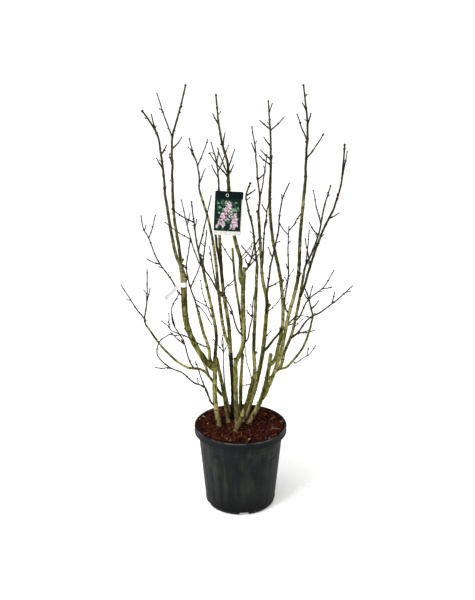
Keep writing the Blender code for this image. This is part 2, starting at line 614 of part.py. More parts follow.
# ----------------------------------------------------------------------- labels
def make_picture_label(leader):
    """A thin plate on a loop that hangs round the centre leader."""
    plate = bmesh.new()
    bmesh.ops.create_cube(plate, size=1)
    size = Matrix.Diagonal((LABEL_WIDTH, LABEL_THICK, LABEL_HEIGHT, 1))
    tilt = Matrix.Rotation(LABEL_TILT, 4, "Y")
    bmesh.ops.transform(plate, matrix=Matrix.Translation(LABEL_PLACE) @ tilt @ size,
                        verts=plate.verts)
    label = add_object("picture_label", plate, "picture")
    place = leader.at_height(LABEL_LOOP_HEIGHT)
    reach = LABEL_PLACE[1] - (place.y - LABEL_LOOP_RADIUS)
    turns = [2 * math.pi * k / 20 for k in range(20)]
    ring = []
    for t in turns:
        front = max(0.0, -math.sin(t))
        ring.append(Vector((place.x + LABEL_LOOP_RADIUS * math.cos(t),
                            place.y + LABEL_LOOP_RADIUS * math.sin(t) + reach * front**2,
                            place.z - LABEL_LOOP_DROP * front**2)))
    loop = add_object("label_loop", closed_tube(ring, LABEL_LOOP_THICK / 2), "picture")
    boolean(label, loop, "UNION")
    bpy.data.objects.remove(loop)
    return label


def closed_tube(ring, radius, sides=6):
    shape = bmesh.new()
    rows = []
    count = len(ring)
    for i, place in enumerate(ring):
        way = (ring[(i + 1) % count] - ring[i - 1]).normalized()
        up = (Vector((0, 0, 1)) - way * way.z).normalized()
        side = way.cross(up)
        rows.append([shape.verts.new(place + (up * math.cos(a) + side * math.sin(a)) * radius)
                     for a in (2 * math.pi * k / sides for k in range(sides))])
    for i in range(count):
        low, high = rows[i], rows[(i + 1) % count]
        for k in range(sides):
            shape.faces.new((low[k], low[(k + 1) % sides], high[(k + 1) % sides], high[k]))
    return shape


def make_marker_flag(leader):
    """A strip of tape wrapped round the left leader, with its end standing off."""
    place, way, radius = leader.at(FLAG_SHARE)
    inner = radius + FLAG_CLEAR
    sides = 16
    turn = Matrix.Translation(place) @ way.to_track_quat("Z", "Y").to_matrix().to_4x4()
    band = bmesh.new()
    rings = []
    for r, z in ((inner, -0.5), (inner + FLAG_THICK, -0.5), (inner + FLAG_THICK, 0.5), (inner, 0.5)):
        rings.append([band.verts.new(turn @ Vector((r * math.cos(a), r * math.sin(a), z * FLAG_WIDTH)))
                      for a in (2 * math.pi * k / sides for k in range(sides))])
    for i in range(4):
        low, high = rings[i], rings[(i + 1) % 4]
        for k in range(sides):
            band.faces.new((low[k], low[(k + 1) % sides], high[(k + 1) % sides], high[k]))
    flag = add_object("marker_flag", band, "flag")
    out = Vector(FLAG_TURN).normalized()
    root = (out - way * out.dot(way)).normalized()
    thin = out.cross(way).normalized()
    strip = bmesh.new()
    rows = []
    for k in range(6):
        t = k / 5
        broad = way.lerp(thin.cross(out), min(1, 2 * t)).normalized()
        middle = place + root * inner * 1.04 + out * FLAG_LENGTH * t
        middle += thin * FLAG_BEND * math.sin(math.pi * t)
        rows.append([strip.verts.new(middle + broad * (b * FLAG_WIDTH / 2.05) + thin * (c * FLAG_THICK / 2))
                     for b, c in ((-1, -1), (1, -1), (1, 1), (-1, 1))])
    for low, high in zip(rows, rows[1:]):
        for k in range(4):
            strip.faces.new((low[k], low[(k + 1) % 4], high[(k + 1) % 4], high[k]))
    strip.faces.new(rows[0])
    strip.faces.new(rows[-1])
    tail = add_object("flag_tail", strip, "flag")
    boolean(flag, tail, "UNION")
    bpy.data.objects.remove(tail)
    return flag


clear_scene()
make_pot()
make_mulch()
shrub_lines = make_shrub()
make_picture_label(shrub_lines["bough_centre_leader"])
make_marker_flag(shrub_lines["bough_left_leader"])
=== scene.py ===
"""Looks of the potted lilac: bark with relief, budded twigs, bark mulch, moulded pot, labels and studio.

Metres, +Z up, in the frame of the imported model. The limbs follow the same named
places and the same seeded rule as the part's source, carried on to finer twigs.
The limbs in SIDE_TWIGS are in this script alone.
"""
import json
import math
import random
from collections import namedtuple

import bpy
import numpy as np
from mathutils import Matrix, Vector, noise
from mathutils.geometry import intersect_point_line

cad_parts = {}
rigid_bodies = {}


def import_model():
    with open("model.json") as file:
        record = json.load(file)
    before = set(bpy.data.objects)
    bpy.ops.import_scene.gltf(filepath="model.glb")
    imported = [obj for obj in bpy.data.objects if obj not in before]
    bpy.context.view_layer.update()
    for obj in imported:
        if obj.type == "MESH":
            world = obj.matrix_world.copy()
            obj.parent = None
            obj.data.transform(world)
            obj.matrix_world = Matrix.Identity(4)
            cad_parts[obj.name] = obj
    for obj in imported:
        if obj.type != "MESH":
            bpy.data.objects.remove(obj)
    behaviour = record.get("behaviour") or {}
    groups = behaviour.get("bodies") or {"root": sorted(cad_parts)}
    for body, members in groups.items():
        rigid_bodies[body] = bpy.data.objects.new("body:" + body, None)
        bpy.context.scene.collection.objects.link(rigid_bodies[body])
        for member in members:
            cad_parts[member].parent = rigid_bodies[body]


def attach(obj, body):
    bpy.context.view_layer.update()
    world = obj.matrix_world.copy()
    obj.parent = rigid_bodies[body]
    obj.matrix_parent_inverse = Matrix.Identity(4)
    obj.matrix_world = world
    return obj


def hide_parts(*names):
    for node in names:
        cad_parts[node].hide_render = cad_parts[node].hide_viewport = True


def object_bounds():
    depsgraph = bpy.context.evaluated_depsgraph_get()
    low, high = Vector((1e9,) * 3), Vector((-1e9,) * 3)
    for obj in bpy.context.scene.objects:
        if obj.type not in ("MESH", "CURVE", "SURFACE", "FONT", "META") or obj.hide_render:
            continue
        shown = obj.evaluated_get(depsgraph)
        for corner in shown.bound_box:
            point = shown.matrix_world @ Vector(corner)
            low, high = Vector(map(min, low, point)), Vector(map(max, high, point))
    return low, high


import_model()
CAD_LOW, CAD_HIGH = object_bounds()

CM = 0.01
GAP = 0.0003
SEED = 7

# ---------------------------------------------------------------- pot and mulch
POT_HEIGHT = 0.282
RIM_RADIUS = 0.153           # outside of the overhanging lip
RIM_DEPTH = 0.024            # height of the lip's ring
WALL_TOP_RADIUS = 0.1405     # outside of the wall, just under the lip
WALL_FOOT_RADIUS = 0.1175
FOOT_RADIUS = 0.1045         # flat underside
FOOT_ROUNDING = 0.020        # height of the rounded lower edge
LEDGE_DEPTH = 0.014          # from the lip down to the ledge inside it
WALL = 0.0025
DRAIN_NOTCHES = 5
DRAIN_WIDTH = 0.032
DRAIN_HEIGHT = 0.016
DRAIN_DEPTH = 0.044
FIRST_DRAIN = math.radians(-84)   # the front notch, a little right of the middle

MULCH_TOP = 0.279
MULCH_FLAT_RADIUS = 0.112    # the stems stand inside this
MULCH_ROOM = 0.0015          # clear space beside the pot's wall

# ------------------------------------------------------------------------ limbs
# Places are (across, back, up) in centimetres, thick is the diameter in
# centimetres at the start and the tip. share is how far along its parent a limb
# starts, where 1 is the parent's tip.
Stem = namedtuple("Stem", "foot route thick")
Bough = namedtuple("Bough", "parent share route thick")
# shoots: (share of the main twig, length in cm, lean to the right, lean to the
# back), both leans in degrees from upright
Mass = namedtuple("Mass", "parent share route thick shoots")

FLARE = 0.06                 # extra thickness at a stem's foot
FLARE_HEIGHT = 0.018
STEP = 0.045                 # distance between rings on stems and boughs
TWIG_STEP = 0.050
SHOOT_THICK = 0.50           # cm, the most at the foot of a shoot
SHOOT_SHARE = 0.9            # of the thickness of the twig it grows from
TIP_THICK = 0.32             # cm, at the end of every shoot

STEMS = {
    "stem_left": Stem((-7.0, -1.3), ((-8.2, -1.5, 36), (-8.2, -1.5, 52)), (1.65, 1.4)),
    "stem_left_back": Stem((-4.1, 1.7), ((-5.0, 1.7, 35), (-7.8, 1.5, 51)), (1.35, 1.05)),
    "stem_dark": Stem((-2.7, 3.8), ((-2.5, 4, 36), (-3.3, 6, 51)), (1.4, 1.2)),
    "stem_centre": Stem(
        (-1.3, 1), ((-1.6, -0.3, 45), (-1.4, -0.8, 50.9), (-0.1, -1.2, 53.7), (0.9, -1.6, 57.5),
                    (0.9, -2.4, 65), (0.7, -4, 73.6), (0.9, -5.5, 82.3)), (1.45, 1.4)),
    "stem_centre_back": Stem(
        (0.1, 3.6), ((0.3, 2.4, 44.2), (0.5, 1.8, 51.9), (0.6, 1.8, 59), (-0.2, 2.2, 66.4),
                     (-1.4, 2.5, 74.1), (-1.9, 2.7, 78.4), (-2.6, 3, 87.8)), (0.95, 0.7)),
    "stem_front": Stem((-1.8, -5.3), ((1.6, -6.3, 37), (4.1, -7, 47.5)), (1.5, 1.25)),
    "stem_right_back": Stem(
        (1.2, 2.5), ((4.9, 2, 40.5), (7.1, 2, 52), (8.5, 4.3, 67)), (1.5, 1.25)),
    "stem_right": Stem((2.8, 1), ((6.5, 0.5, 36), (9.1, 0, 47.5), (9.8, 0, 53)), (1.5, 1.25)),
    "stem_thin_back": Stem((-3.4, 9), ((-4.9, 9, 35), (-5.9, 12, 54)), (0.6, 0.3)),
    "stem_short_back": Stem((-0.1, 6.7), ((0, 7, 41), (0.9, 7, 50)), (0.9, 0.75)),
}

BOUGHS = {
    "bough_left_leader": Bough(
        "stem_left", 0.87, ((-12.3, -2, 53), (-16.4, -3, 62), (-17.9, -4, 81.2)), (1.75, 1.95)),
    "bough_upper_left": Bough(
        "bough_left_leader", 1, ((-19.8, -5, 87.5), (-21.1, -6, 95), (-22.3, -8, 105.5)),
        (1.1, 0.85)),
    "bough_upper_left_inner": Bough(
        "bough_left_leader", 0.97, ((-19, -1.5, 88), (-20.6, 0, 99), (-21, 2, 106)), (1.05, 0.85)),
    "bough_low_left": Bough(
        "stem_left_back", 0.42,
        ((-9.1, 3, 42), (-12.5, 4, 45.6), (-17.6, 5, 46.2), (-25, 7, 51.5), (-30.8, 9, 59)),
        (0.9, 0.65)),
    "bough_left_strut": Bough(
        "bough_low_left", 0.24, ((-12.6, 2.5, 50), (-14.4, 2, 54)), (0.8, 0.65)),
    "bough_left_front": Bough(
        "stem_left", 0.93, ((-10.3, -3.5, 57), (-11.8, -5, 62.5), (-13.3, -6.5, 70)), (1.05, 0.9)),
    "bough_left_front_tall": Bough(
        "stem_left", 1, ((-7.7, -5, 61.5), (-8.4, -8, 68.5), (-9.6, -11, 76), (-11.3, -13, 85.5)),
        (1.1, 0.8)),
    "bough_back_left": Bough(
        "stem_dark", 1, ((-5.1, 8, 56.5), (-7.1, 13, 68.5), (-8.3, 17, 80), (-10.7, 20, 93),
                         (-13.1, 22, 100.5)), (1.1, 0.8)),
    "bough_back": Bough(
        "stem_dark", 0.9, ((-3.9, 10, 59), (-5.7, 18, 68), (-6.8, 23, 81), (-7.2, 27, 101)),
        (1.3, 0.95)),
    "bough_centre_leader": Bough(
        "stem_centre", 0.93, ((-0.1, -4.2, 86.4), (-1.4, -2.5, 90.6), (-2.7, -1.2, 96.5),
                               (-3.4, -1, 102.5), (-3.8, -1, 110.5)), (1.25, 1.05)),
    "bough_front_upper": Bough(
        "stem_front", 1, ((4.1, -8.5, 58), (4.5, -10, 72), (4.9, -12, 86.5)), (1.15, 0.95)),
    "bough_right_tall": Bough(
        "stem_right_back", 1, ((7, 6, 77), (6.4, 8, 86), (5.7, 10, 97)), (1.15, 0.9)),
    "bough_right_leader": Bough(
        "stem_right", 0.86, ((12.2, 1.3, 55), (13.5, 2.5, 62), (12.9, 6, 76), (10.3, 9, 89),
                             (9.3, 11.5, 100), (9.4, 12, 108)), (1.15, 0.95)),
    "bough_right_front": Bough(
        "stem_right", 0.4, ((9.1, -3, 43), (11, -5, 49.4), (12.7, -7, 56.5), (14.5, -9, 68),
                            (17.5, -9, 82), (17.9, -9, 95), (19, -8.5, 110.5)), (1.25, 0.95)),
    "bough_low_right": Bough(
        "stem_right", 0.66, ((12.6, 1.5, 47), (14.6, 1, 47.8), (17, -0.5, 51), (19.4, -2.5, 55.3),
                             (21.5, -6.5, 63.2), (22.1, -11, 69.6)), (0.85, 0.6)),
    "bough_right_outer": Bough(
        "bough_low_right", 0.15, ((14.2, 3, 52), (16.6, 5, 57.5), (18.4, 8, 64.3), (21, 14, 77)),
        (1.05, 0.85)),
}

MASSES = {
    "twigs_upper_left": Mass(
        "bough_upper_left", 1, ((-23.2, -9, 118), (-24.6, -10, 126.5), (-28.5, -11, 133)),
        (0.83, 0.5), ((0.74, 5.5, -12, -10), (0.35, 4, -35, 30), (0.5, 4, 30, -25))),
    "twigs_upper_left_inner": Mass(
        "bough_upper_left_inner", 1, ((-21, 4, 114), (-20.9, 5, 122), (-19.3, 6, 128), (-16.7, 8, 138)),
        (0.83, 0.53), ((0.5, 14.3, -19, 7), (0.4, 5, 40, -5), (0.25, 4, -20, 40))),
    "twigs_left_of_flag": Mass(
        "bough_left_leader", 0.81, ((-21.3, -5, 79.6), (-24.1, -6.3, 84.2), (-26.5, -8, 89.8),
                                (-27.5, -10, 94.4), (-29, -11.5, 98.3), (-29.5, -13, 102.5)),
        (0.5, 0.31), ((0.73, 8.3, 17, -14), (0.4, 5, -60, -20))),
    "twigs_low_left": Mass(
        "bough_low_left", 1, ((-30.7, 9.5, 68), (-30.5, 11, 78.5)), (0.57, 0.33),
        ((0.1, 15, -32, 2), (0.45, 5, 15, 45))),
    "twigs_low_left_inner": Mass(
        "bough_low_left", 0.4, ((-18.9, 6.5, 55), (-22.4, 7, 62), (-22.2, 7.5, 67), (-19.7, 8, 71.5)),
        (0.53, 0.31), ((0.3, 6, -50, 10), (0.55, 6, -20, 50))),
    "twigs_low_front_left": Mass(
        "stem_left", 0.34, ((-12, -4, 43.5), (-14.9, -6, 45.5), (-18.5, -8, 49.8), (-22.5, -10, 52.7),
                            (-26.1, -11, 57.3), (-25.2, -12, 62), (-21.7, -13, 65)),
        (0.61, 0.29), ((0.1, 14, -17, -10), (0.6, 5, -80, -25))),
    "twigs_left_front": Mass(
        "bough_left_front", 1, ((-15.1, -8, 77), (-16.5, -9, 83.7), (-15.1, -11, 94.5)), (0.55, 0.35),
        ((0.35, 8.2, 22, -10), (0.6, 5, -30, -30))),
    "twigs_left_front_low": Mass(
        "bough_left_front", 0.35, ((-16.8, -7.5, 62), (-21.8, -9, 65), (-22.2, -10, 70.8)),
        (0.42, 0.26), ((0.5, 5, -75, -30), (0.75, 3.5, -55, 10))),
    "twigs_left_front_tall": Mass(
        "bough_left_front_tall", 1, ((-13.3, -15, 96), (-13.9, -17, 103.5), (-14.3, -18, 108)),
        (0.66, 0.37), ((0.05, 14, 7, -22), (0.3, 19, 13, -16), (0.7, 8.5, -52, -20),
                      (0.6, 6, 10, -45))),
    "twigs_back_left": Mass(
        "bough_back_left", 1, ((-13.9, 24, 109), (-15.6, 25.5, 114), (-16.8, 26, 118.5)),
        (0.64, 0.37), ((0.5, 9.5, 22, 14), (0.62, 4.5, -30, 35), (0.2, 6, 25, 40))),
    "twigs_back_left_side": Mass(
        "bough_back", 0.38, ((-9.9, 20, 72), (-14, 22, 77.5), (-16.8, 25, 84.5), (-19.9, 28, 97.5)),
        (0.57, 0.33), ((0.1, 15.5, -8, -9), (0.62, 10.5, -55, 0), (0.3, 7, -20, 50), (0.75, 5, 15, 40))),
    "twigs_back": Mass(
        "bough_back", 1, ((-7.5, 29, 107), (-9.8, 30, 116.5)), (0.64, 0.37),
        ((0.38, 9.5, 22, 8), (0.25, 5, -30, 20), (0.5, 6, 5, 35))),
    "twigs_centre": Mass(
        "stem_centre", 1, ((1.9, -6.2, 83.8), (2.8, -6.6, 86.2), (3.6, -7, 89.5), (4.1, -7.4, 92.4)),
        (0.66, 0.35),
        ((0.12, 6.5, 40, 8), (0.3, 4, -20, -40), (0.55, 3.5, 45, 15))),
    "twigs_centre_low": Mass(
        "stem_centre", 0.56, ((2.8, -3.8, 63.3), (3.6, -5, 67.3), (3.7, -6.3, 72.6), (4.4, -8, 77.3)),
        (0.5, 0.31), ((0.5, 4, -30, -30),)),
    "twigs_centre_front": Mass(
        "stem_centre", 0.6, ((-3, -6.5, 71), (-5.1, -9, 77.5), (-2, -13, 82.5)), (0.55, 0.31),
        ((0.62, 5, -35, -30), (0.35, 5, -20, -50))),
    "twigs_centre_leader": Mass(
        "bough_centre_leader", 1, ((-4.1, -1, 116), (-5.7, 1, 121.6), (-6.8, 3, 127.5), (-7.5, 4, 135.6)),
        (0.94, 0.51), ((0.03, 10, -35, -12), (0.07, 8.5, -22, 8), (0.12, 6.5, 20, 15),
                       (0.05, 4.5, 24, -25), (0.4, 5, 10, 45), (0.65, 4, -30, 20))),
    "twigs_front": Mass(
        "bough_front_upper", 1, ((4.2, -14, 93), (3.7, -16, 98.3), (2.2, -18.5, 105.5),
                                 (1.5, -20.5, 110.5), (2.7, -22.5, 114.5)), (0.75, 0.46),
        ((0.84, 3.2, 55, -10), (0.25, 3.5, 25, -30), (0.5, 6, -5, -50), (0.05, 8, -38, -20))),
    "twigs_right_tall": Mass(
        "bough_right_tall", 1, ((6.1, 12, 101), (5.4, 13, 108), (4.6, 14, 117), (3.5, 15, 124.2)),
        (0.68, 0.4), ((0.15, 15, 9, 12), (0.4, 3.5, 50, 20), (0.7, 4, -25, 40))),
    "twigs_right_inner": Mass(
        "bough_right_tall", 0.45, ((7.3, 2, 93), (8.3, -3, 103), (8.9, -6, 108.6)), (0.57, 0.35),
        ((0.5, 6, 10, -50), (0.7, 3.5, -30, -20))),
    "twigs_right_mid": Mass(
        "stem_right_back", 0.97, ((8.9, 0, 79), (10, -5, 88.3), (11.2, -9, 96), (12.2, -12, 107),
                                  (14.1, -14, 112.5)), (0.68, 0.37),
        ((0.2, 4, 60, -5), (0.45, 6, -20, -40), (0.75, 5, 0, -45))),
    "twigs_right_leader": Mass(
        "bough_right_leader", 1, ((9.5, 13, 114), (9.2, 13, 123.3), (8.6, 14, 132.4)), (0.86, 0.44),
        ((0.18, 4.7, -52, 10), (0.25, 4.6, -46, -10), (0.42, 3.7, -39, 20), (0.62, 6.2, 46, 5),
         (0.64, 4.3, -50, 0), (0.85, 3, 20, 5), (0.1, 6, 10, 45))),
    "twigs_right_low": Mass(
        "stem_right_back", 0.66, ((11.1, -1.8, 59.4), (14.3, -3.3, 64), (17.5, -4, 67.6)), (0.94, 0.44),
        ((0.5, 5, 15, -35), (0.75, 3, 75, 10))),
    "twigs_right_front": Mass(
        "bough_right_front", 1, ((19.2, -8, 118), (19.5, -7, 127), (18.1, -6, 139.8)), (0.9, 0.48),
        ((0.45, 8.5, -22, -5), (0.27, 9, 35, 5), (0.6, 4, 20, 30), (0.75, 3, -30, -30))),
    "twigs_right_front_side": Mass(
        "bough_right_front", 0.47, ((14.4, -12, 84.5), (14, -14, 92), (14.1, -16, 100)), (0.57, 0.33),
        ((0.9, 5, -35, -10), (0.95, 6.5, 32, -10), (0.5, 5, -15, -50))),
    "twigs_low_right": Mass(
        "bough_low_right", 1, ((21.1, -12, 74.5), (19.4, -14, 80)), (0.64, 0.37),
        ((0.3, 5, 30, -35), (0.6, 4, -30, -40))),
    "twigs_low_right_side": Mass(
        "bough_low_right", 0.3, ((17.9, 1.5, 49.2), (20.2, 3, 50.1), (23.2, 5, 51.4),
                                 (24.7, 6, 53.6)),
        (0.35, 0.24), ((0.6, 3, 20, 45),)),
    "twigs_outer_right": Mass(
        "bough_right_outer", 1, ((23.5, 16, 82.3), (26.2, 18.5, 90), (27.4, 20, 97), (29.6, 22, 103.8)),
        (0.77, 0.46), ((0.55, 11.5, -14, 10), (0.42, 5.5, -35, 0), (0.03, 12.5, 6, 14), (0.7, 4, 20, 50))),
    "twigs_outer_right_upper": Mass(
        "bough_right_outer", 0.74, ((21.9, 9.5, 77.5), (25.9, 3, 93.7), (28.5, 0, 101.2),
                                    (30.2, -2, 108.3), (30.8, -5, 122.2)), (0.94, 0.53),
        ((0.8, 9, 8, -8), (0.55, 3.5, 60, 0), (0.2, 9, -12, 10), (0.65, 5, 10, -45))),
    "twigs_right_side": Mass(
        "bough_right_outer", 0.32, ((18.2, 3.6, 58.6), (21.2, 3.5, 63), (26.6, 1, 67.8),
                                   (30.7, -2, 72.5), (34.8, -5, 78)),
        (0.64, 0.33), ((0.1, 6, 75, -20), (0.4, 4, 40, -40), (0.65, 4, 15, 30))),
    "twigs_right_side_back": Mass(
        "bough_right_outer", 0.5, ((22.3, 12, 67.5), (27.6, 15, 70.8), (31.2, 18, 75.8)), (0.53, 0.31),
        ((0.65, 3.5, 80, 0), (0.4, 5, 20, 40))),
}

# The finer twigs that the seeded rule adds to each mass
FINE_SPACING = 0.130         # along each twig
FINE_LENGTHS = (0.010, 0.022)
FINE_LEAN = (35, 60)         # degrees off the twig it grows from
FINE_THICK = (0.28, 0.20)    # cm
SPACE = 0.10                 # a mass keeps within this distance of its main twig
TOUCH = 0.004                # nearer than this counts as touching another limb

# ----------------------------------------------------------------------- labels
LABEL_WIDTH = 0.086
LABEL_HEIGHT = 0.138
LABEL_THICK = 0.0008
LABEL_PLACE = (-0.038, -0.028, 1.005)     # its middle
LABEL_TILT = math.radians(3)
LABEL_LOOP_RADIUS = 0.0095                # the loop round the centre leader
LABEL_LOOP_THICK = 0.0016
LABEL_LOOP_HEIGHT = 1.074
LABEL_LOOP_DROP = 0.012                   # how much lower the loop is at the label
FLAG_WIDTH = 0.015
FLAG_LENGTH = 0.070
FLAG_THICK = 0.0008
FLAG_BEND = 0.004                          # how far its tail bows out
FLAG_SHARE = 0.91                          # along the left leader
FLAG_TURN = (-0.66, -0.60, -0.45)          # the way its tail hangs


# ------------------------------------------------------------------------ lines
ELBOW_OUT = 1.25             # where a side limb turns up, in its own radii
ELBOW_ON = 1.2
SHOOT_WIDER = (1.1, 1.1)     # a shoot's leans at its foot and at its tip, as
SHOOT_STEEPER = (0.92, 0.92) # shares of the named leans to the right and the back
SHOOT_BEND = 0.45            # share of the shoot's length before it turns up
LEAF_TURN = 137.5            # degrees between one fine twig and the next
TURN_STRAY = 60              # and up to this many degrees more
UPWARD = 0.25                # how much a fine twig turns up
FINE_EARLY = 0.35            # how far before its even place a fine twig may stand,
FINE_STRAY = 0.3             # and the length of the stretch it may stand in, in spacings
FINE_LAST = 0.97             # the last place for one along its twig
LIMB_SUNK = 0.8              # how deep a side limb starts in its parent, in the parent's radii
LIMB_COLLAR = 0.2            # how much thicker each kind of limb is where it leaves its parent
TIP_COLLAR = 0.05            # the least, for a limb that carries on from a tip
SHOOT_COLLAR = 0.35
SPRIG_COLLAR = 0.3


def smooth_line(knots, step):
    """Points about a step apart along a smooth curve through the knots."""
    spans = [max((b - a).length, 1e-6) for a, b in zip(knots, knots[1:])]
    slopes = [(knots[1] - knots[0]) / spans[0]]
    for i in range(1, len(knots) - 1):
        before = (knots[i] - knots[i - 1]) / spans[i - 1]
        after = (knots[i + 1] - knots[i]) / spans[i]
        slopes.append((before * spans[i] + after * spans[i - 1]) / (spans[i - 1] + spans[i]))
    slopes.append((knots[-1] - knots[-2]) / spans[-1])
    points = [knots[0]]
    for i, span in enumerate(spans):
        count = max(1, round(span / step))
        for k in range(1, count + 1):
            t = k / count
            points.append(knots[i] * (2 * t**3 - 3 * t**2 + 1) + slopes[i] * span * (t**3 - 2 * t**2 + t)
                          + knots[i + 1] * (3 * t**2 - 2 * t**3) + slopes[i + 1] * span * (t**3 - t**2))
    return points


class Line:
    """A limb's centre line with a radius at each point."""

    def __init__(self, knots, step, thick, first_way=None, flare=0.0):
        self.knots = knots
        self.points = smooth_line(knots, step)
        self.first_way = first_way
        self.thick = [t * CM / 2 for t in thick]
        self.flare = flare
        self.sunk = 0.0              # how far the mesh goes back into its parent
        self.buried = 0.0            # how much of the line itself is inside its parent
        self.collar = 0.0            # extra thickness where it leaves its parent
        lengths = [0.0]
        for a, b in zip(self.points, self.points[1:]):
            lengths.append(lengths[-1] + (b - a).length)
        self.length = lengths[-1]
        self.shares = [run / self.length for run in lengths]
        self.radii = [float(radius) for radius in self.radius_at(np.array(lengths), self.length)]

    def radius_at(self, runs, length):
        """The taper at each run from the start, with the flare of a stem's foot."""
        start, end = self.thick
        return (start + (end - start) * runs / length) * (1 + self.flare * np.exp(-runs / FLARE_HEIGHT))

    def at(self, share):
        """Place, direction and radius at a share of the length."""
        for i in range(len(self.points) - 1):
            if share <= self.shares[i + 1] or i == len(self.points) - 2:
                low, high = self.shares[i], self.shares[i + 1]
                t = (share - low) / (high - low)
                place = self.points[i].lerp(self.points[i + 1], t)
                way = (self.points[i + 1] - self.points[i]).normalized()
                return place, way, self.radii[i] + (self.radii[i + 1] - self.radii[i]) * t

    def at_height(self, height):
        """The first place on the line at a height."""
        for low, high in zip(self.points, self.points[1:]):
            if low.z <= height < high.z:
                return low.lerp(high, (height - low.z) / (high.z - low.z))

    def distance(self, place):
        """How far a place is from the limb's surface."""
        best = 1e9
        for i in range(len(self.points) - 1):
            _, t = intersect_point_line(place, self.points[i], self.points[i + 1])
            near = self.points[i].lerp(self.points[i + 1], min(max(t, 0), 1))
            best = min(best, (place - near).length - self.radii[i])
        return best


def places(route):
    """A route's places in metres."""
    return [Vector(place) * CM for place in route]


def stem_line(stem):
    """From the flat cut on the mulch, upright at first."""
    foot = Vector((stem.foot[0] * CM, stem.foot[1] * CM, MULCH_TOP + GAP))
    return Line([foot, *places(stem.route)], STEP, stem.thick, Vector((0, 0, 1)), FLARE)


def child_line(parent, share, route, thick, step):
    """A limb that starts at its parent's tip or side, with its mesh sunk into the parent."""
    route = places(route)
    place, way, parent_radius = parent.at(share)
    radius = thick[0] * CM / 2
    if share == 1:
        start = place + way * GAP
        elbow = start + way * radius
        first_way = way
    else:
        aim = route[0] - place
        first_way = (aim - way * aim.dot(way)).normalized()
        start = place + first_way * (parent_radius + 2 * GAP)
        elbow = start + first_way * (radius * ELBOW_OUT) + way * (radius * ELBOW_ON)
    line = Line([start, elbow, *route], step, thick, first_way)
    if share == 1:
        line.sunk = parent_radius
        line.collar = max(TIP_COLLAR, parent_radius / radius - 1)
    else:
        line.sunk = parent_radius * LIMB_SUNK
        line.collar = LIMB_COLLAR
    return line


def side_line(knots, step, thick, parent_radius, collar):
    """The line of a slight side twig, which starts on its parent's centre line."""
    line = Line(knots, step, thick)
    line.buried = parent_radius
    line.collar = collar
    return line


def shoot_line(parent, share, length, lean, back, thick, step):
    """A side shoot: it leaves wider than its lean and turns up towards its tip."""
    place, _, radius = parent.at(share)
    wide = aim_way(lean * SHOOT_WIDER[0], back * SHOOT_WIDER[1])
    steep = aim_way(lean * SHOOT_STEEPER[0], back * SHOOT_STEEPER[1])
    middle = place + wide * (length * CM * SHOOT_BEND)
    tip = middle + steep * (length * CM * (1 - SHOOT_BEND))
    return side_line([place, middle, tip], step, thick, radius, SHOOT_COLLAR)


def across_way(way, angle):
    """A direction square to the way, turned round it by an angle."""
    across = way.orthogonal().normalized()
    across.rotate(Matrix.Rotation(angle, 3, way))
    return across


def aim_way(lean, back):
    """The direction at two leans, to the right and to the back, in degrees."""
    right = math.radians(lean)
    rear = math.radians(back)
    return Vector((math.sin(right) * math.cos(rear), math.sin(rear),
                   math.cos(right) * math.cos(rear))).normalized()


def keeps_clear(line, name, main, others):
    """True if a new twig stays in its mass's space and touches no other limb."""
    for place in line.points[1:]:
        if main.distance(place) > SPACE:
            return False
        for other, lines in others.items():
            if other != name and any(own.distance(place) < TOUCH for own in lines):
                return False
    return True


def fine_lines(line, rule):
    """The seeded rule's small side twigs along one twig, each turned on from the last."""
    found = []
    count = int(line.length / FINE_SPACING)
    for number in range(1, count + 1):
        share = min((number - FINE_EARLY + FINE_STRAY * rule.random()) / (count + 0.2), FINE_LAST)
        place, way, radius = line.at(share)
        across = across_way(way, math.radians(LEAF_TURN * number + TURN_STRAY * rule.random()))
        lean = math.radians(rule.uniform(*FINE_LEAN))
        aim = way * math.cos(lean) + across * math.sin(lean)
        aim = (aim + Vector((0, 0, UPWARD))).normalized()
        length = rule.uniform(*FINE_LENGTHS)
        knots = [place, place + aim * length]
        found.append(side_line(knots, TWIG_STEP, FINE_THICK, radius, SHOOT_COLLAR))
    return found


def mass_lines(name, mass, main, others):
    """The shoots and fine twigs of one mass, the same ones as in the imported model."""
    rule = random.Random(f"{SEED} {name}")
    grown = []
    for share, length, lean, back in mass.shoots:
        _, _, radius = main.at(share)
        thick = (min(SHOOT_THICK, radius * 2 / CM * SHOOT_SHARE), TIP_THICK)
        grown.append(shoot_line(main, share, length, lean, back, thick, TWIG_STEP))
    for line in [main, *grown]:
        grown = grown + fine_lines(line, rule)
    kept = [line for line in grown if keeps_clear(line, name, main, others)]
    others[name].extend(kept)
    return kept


def shrub_lines():
    """All stems, boughs and main twigs by name, and each mass's own twigs by name."""
    lines = {name: stem_line(stem) for name, stem in STEMS.items()}
    for name, bough in BOUGHS.items():
        lines[name] = child_line(lines[bough.parent], bough.share, bough.route, bough.thick, STEP)
    for name, mass in MASSES.items():
        lines[name] = child_line(lines[mass.parent], mass.share, mass.route, mass.thick, TWIG_STEP)
    others = {name: [line] for name, line in lines.items()}
    twigs = {name: mass_lines(name, mass, lines[name], others) for name, mass in MASSES.items()}
    return lines, twigs


# ------------------------------------------------------------------- bark sizes
BARK_STEP = 0.0030           # distance between rings of the bark meshes
BARK_SIDES = 22
# Lumps, ridges and grain: how many waves, waves round the limb, length, height
BARK_WAVES = ((6, (1, 3), (0.020, 0.070), 0.020), (9, (2, 7), (0.006, 0.022), 0.009),
              (10, (6, 11), (0.012, 0.050), 0.007))
TWIG_RING_STEP = 0.0042
NODE_SPACING = 0.028         # between pairs of buds
OLD_NODE_SPACING = 0.045     # between leaf scars on stems and boughs
SCAR_ARC = 0.6               # a scar on old wood goes this far round, as a squared cosine
BUD_LENGTH = 0.0044
BUD_WIDTH = 0.0035
BUD_SIDES = 6
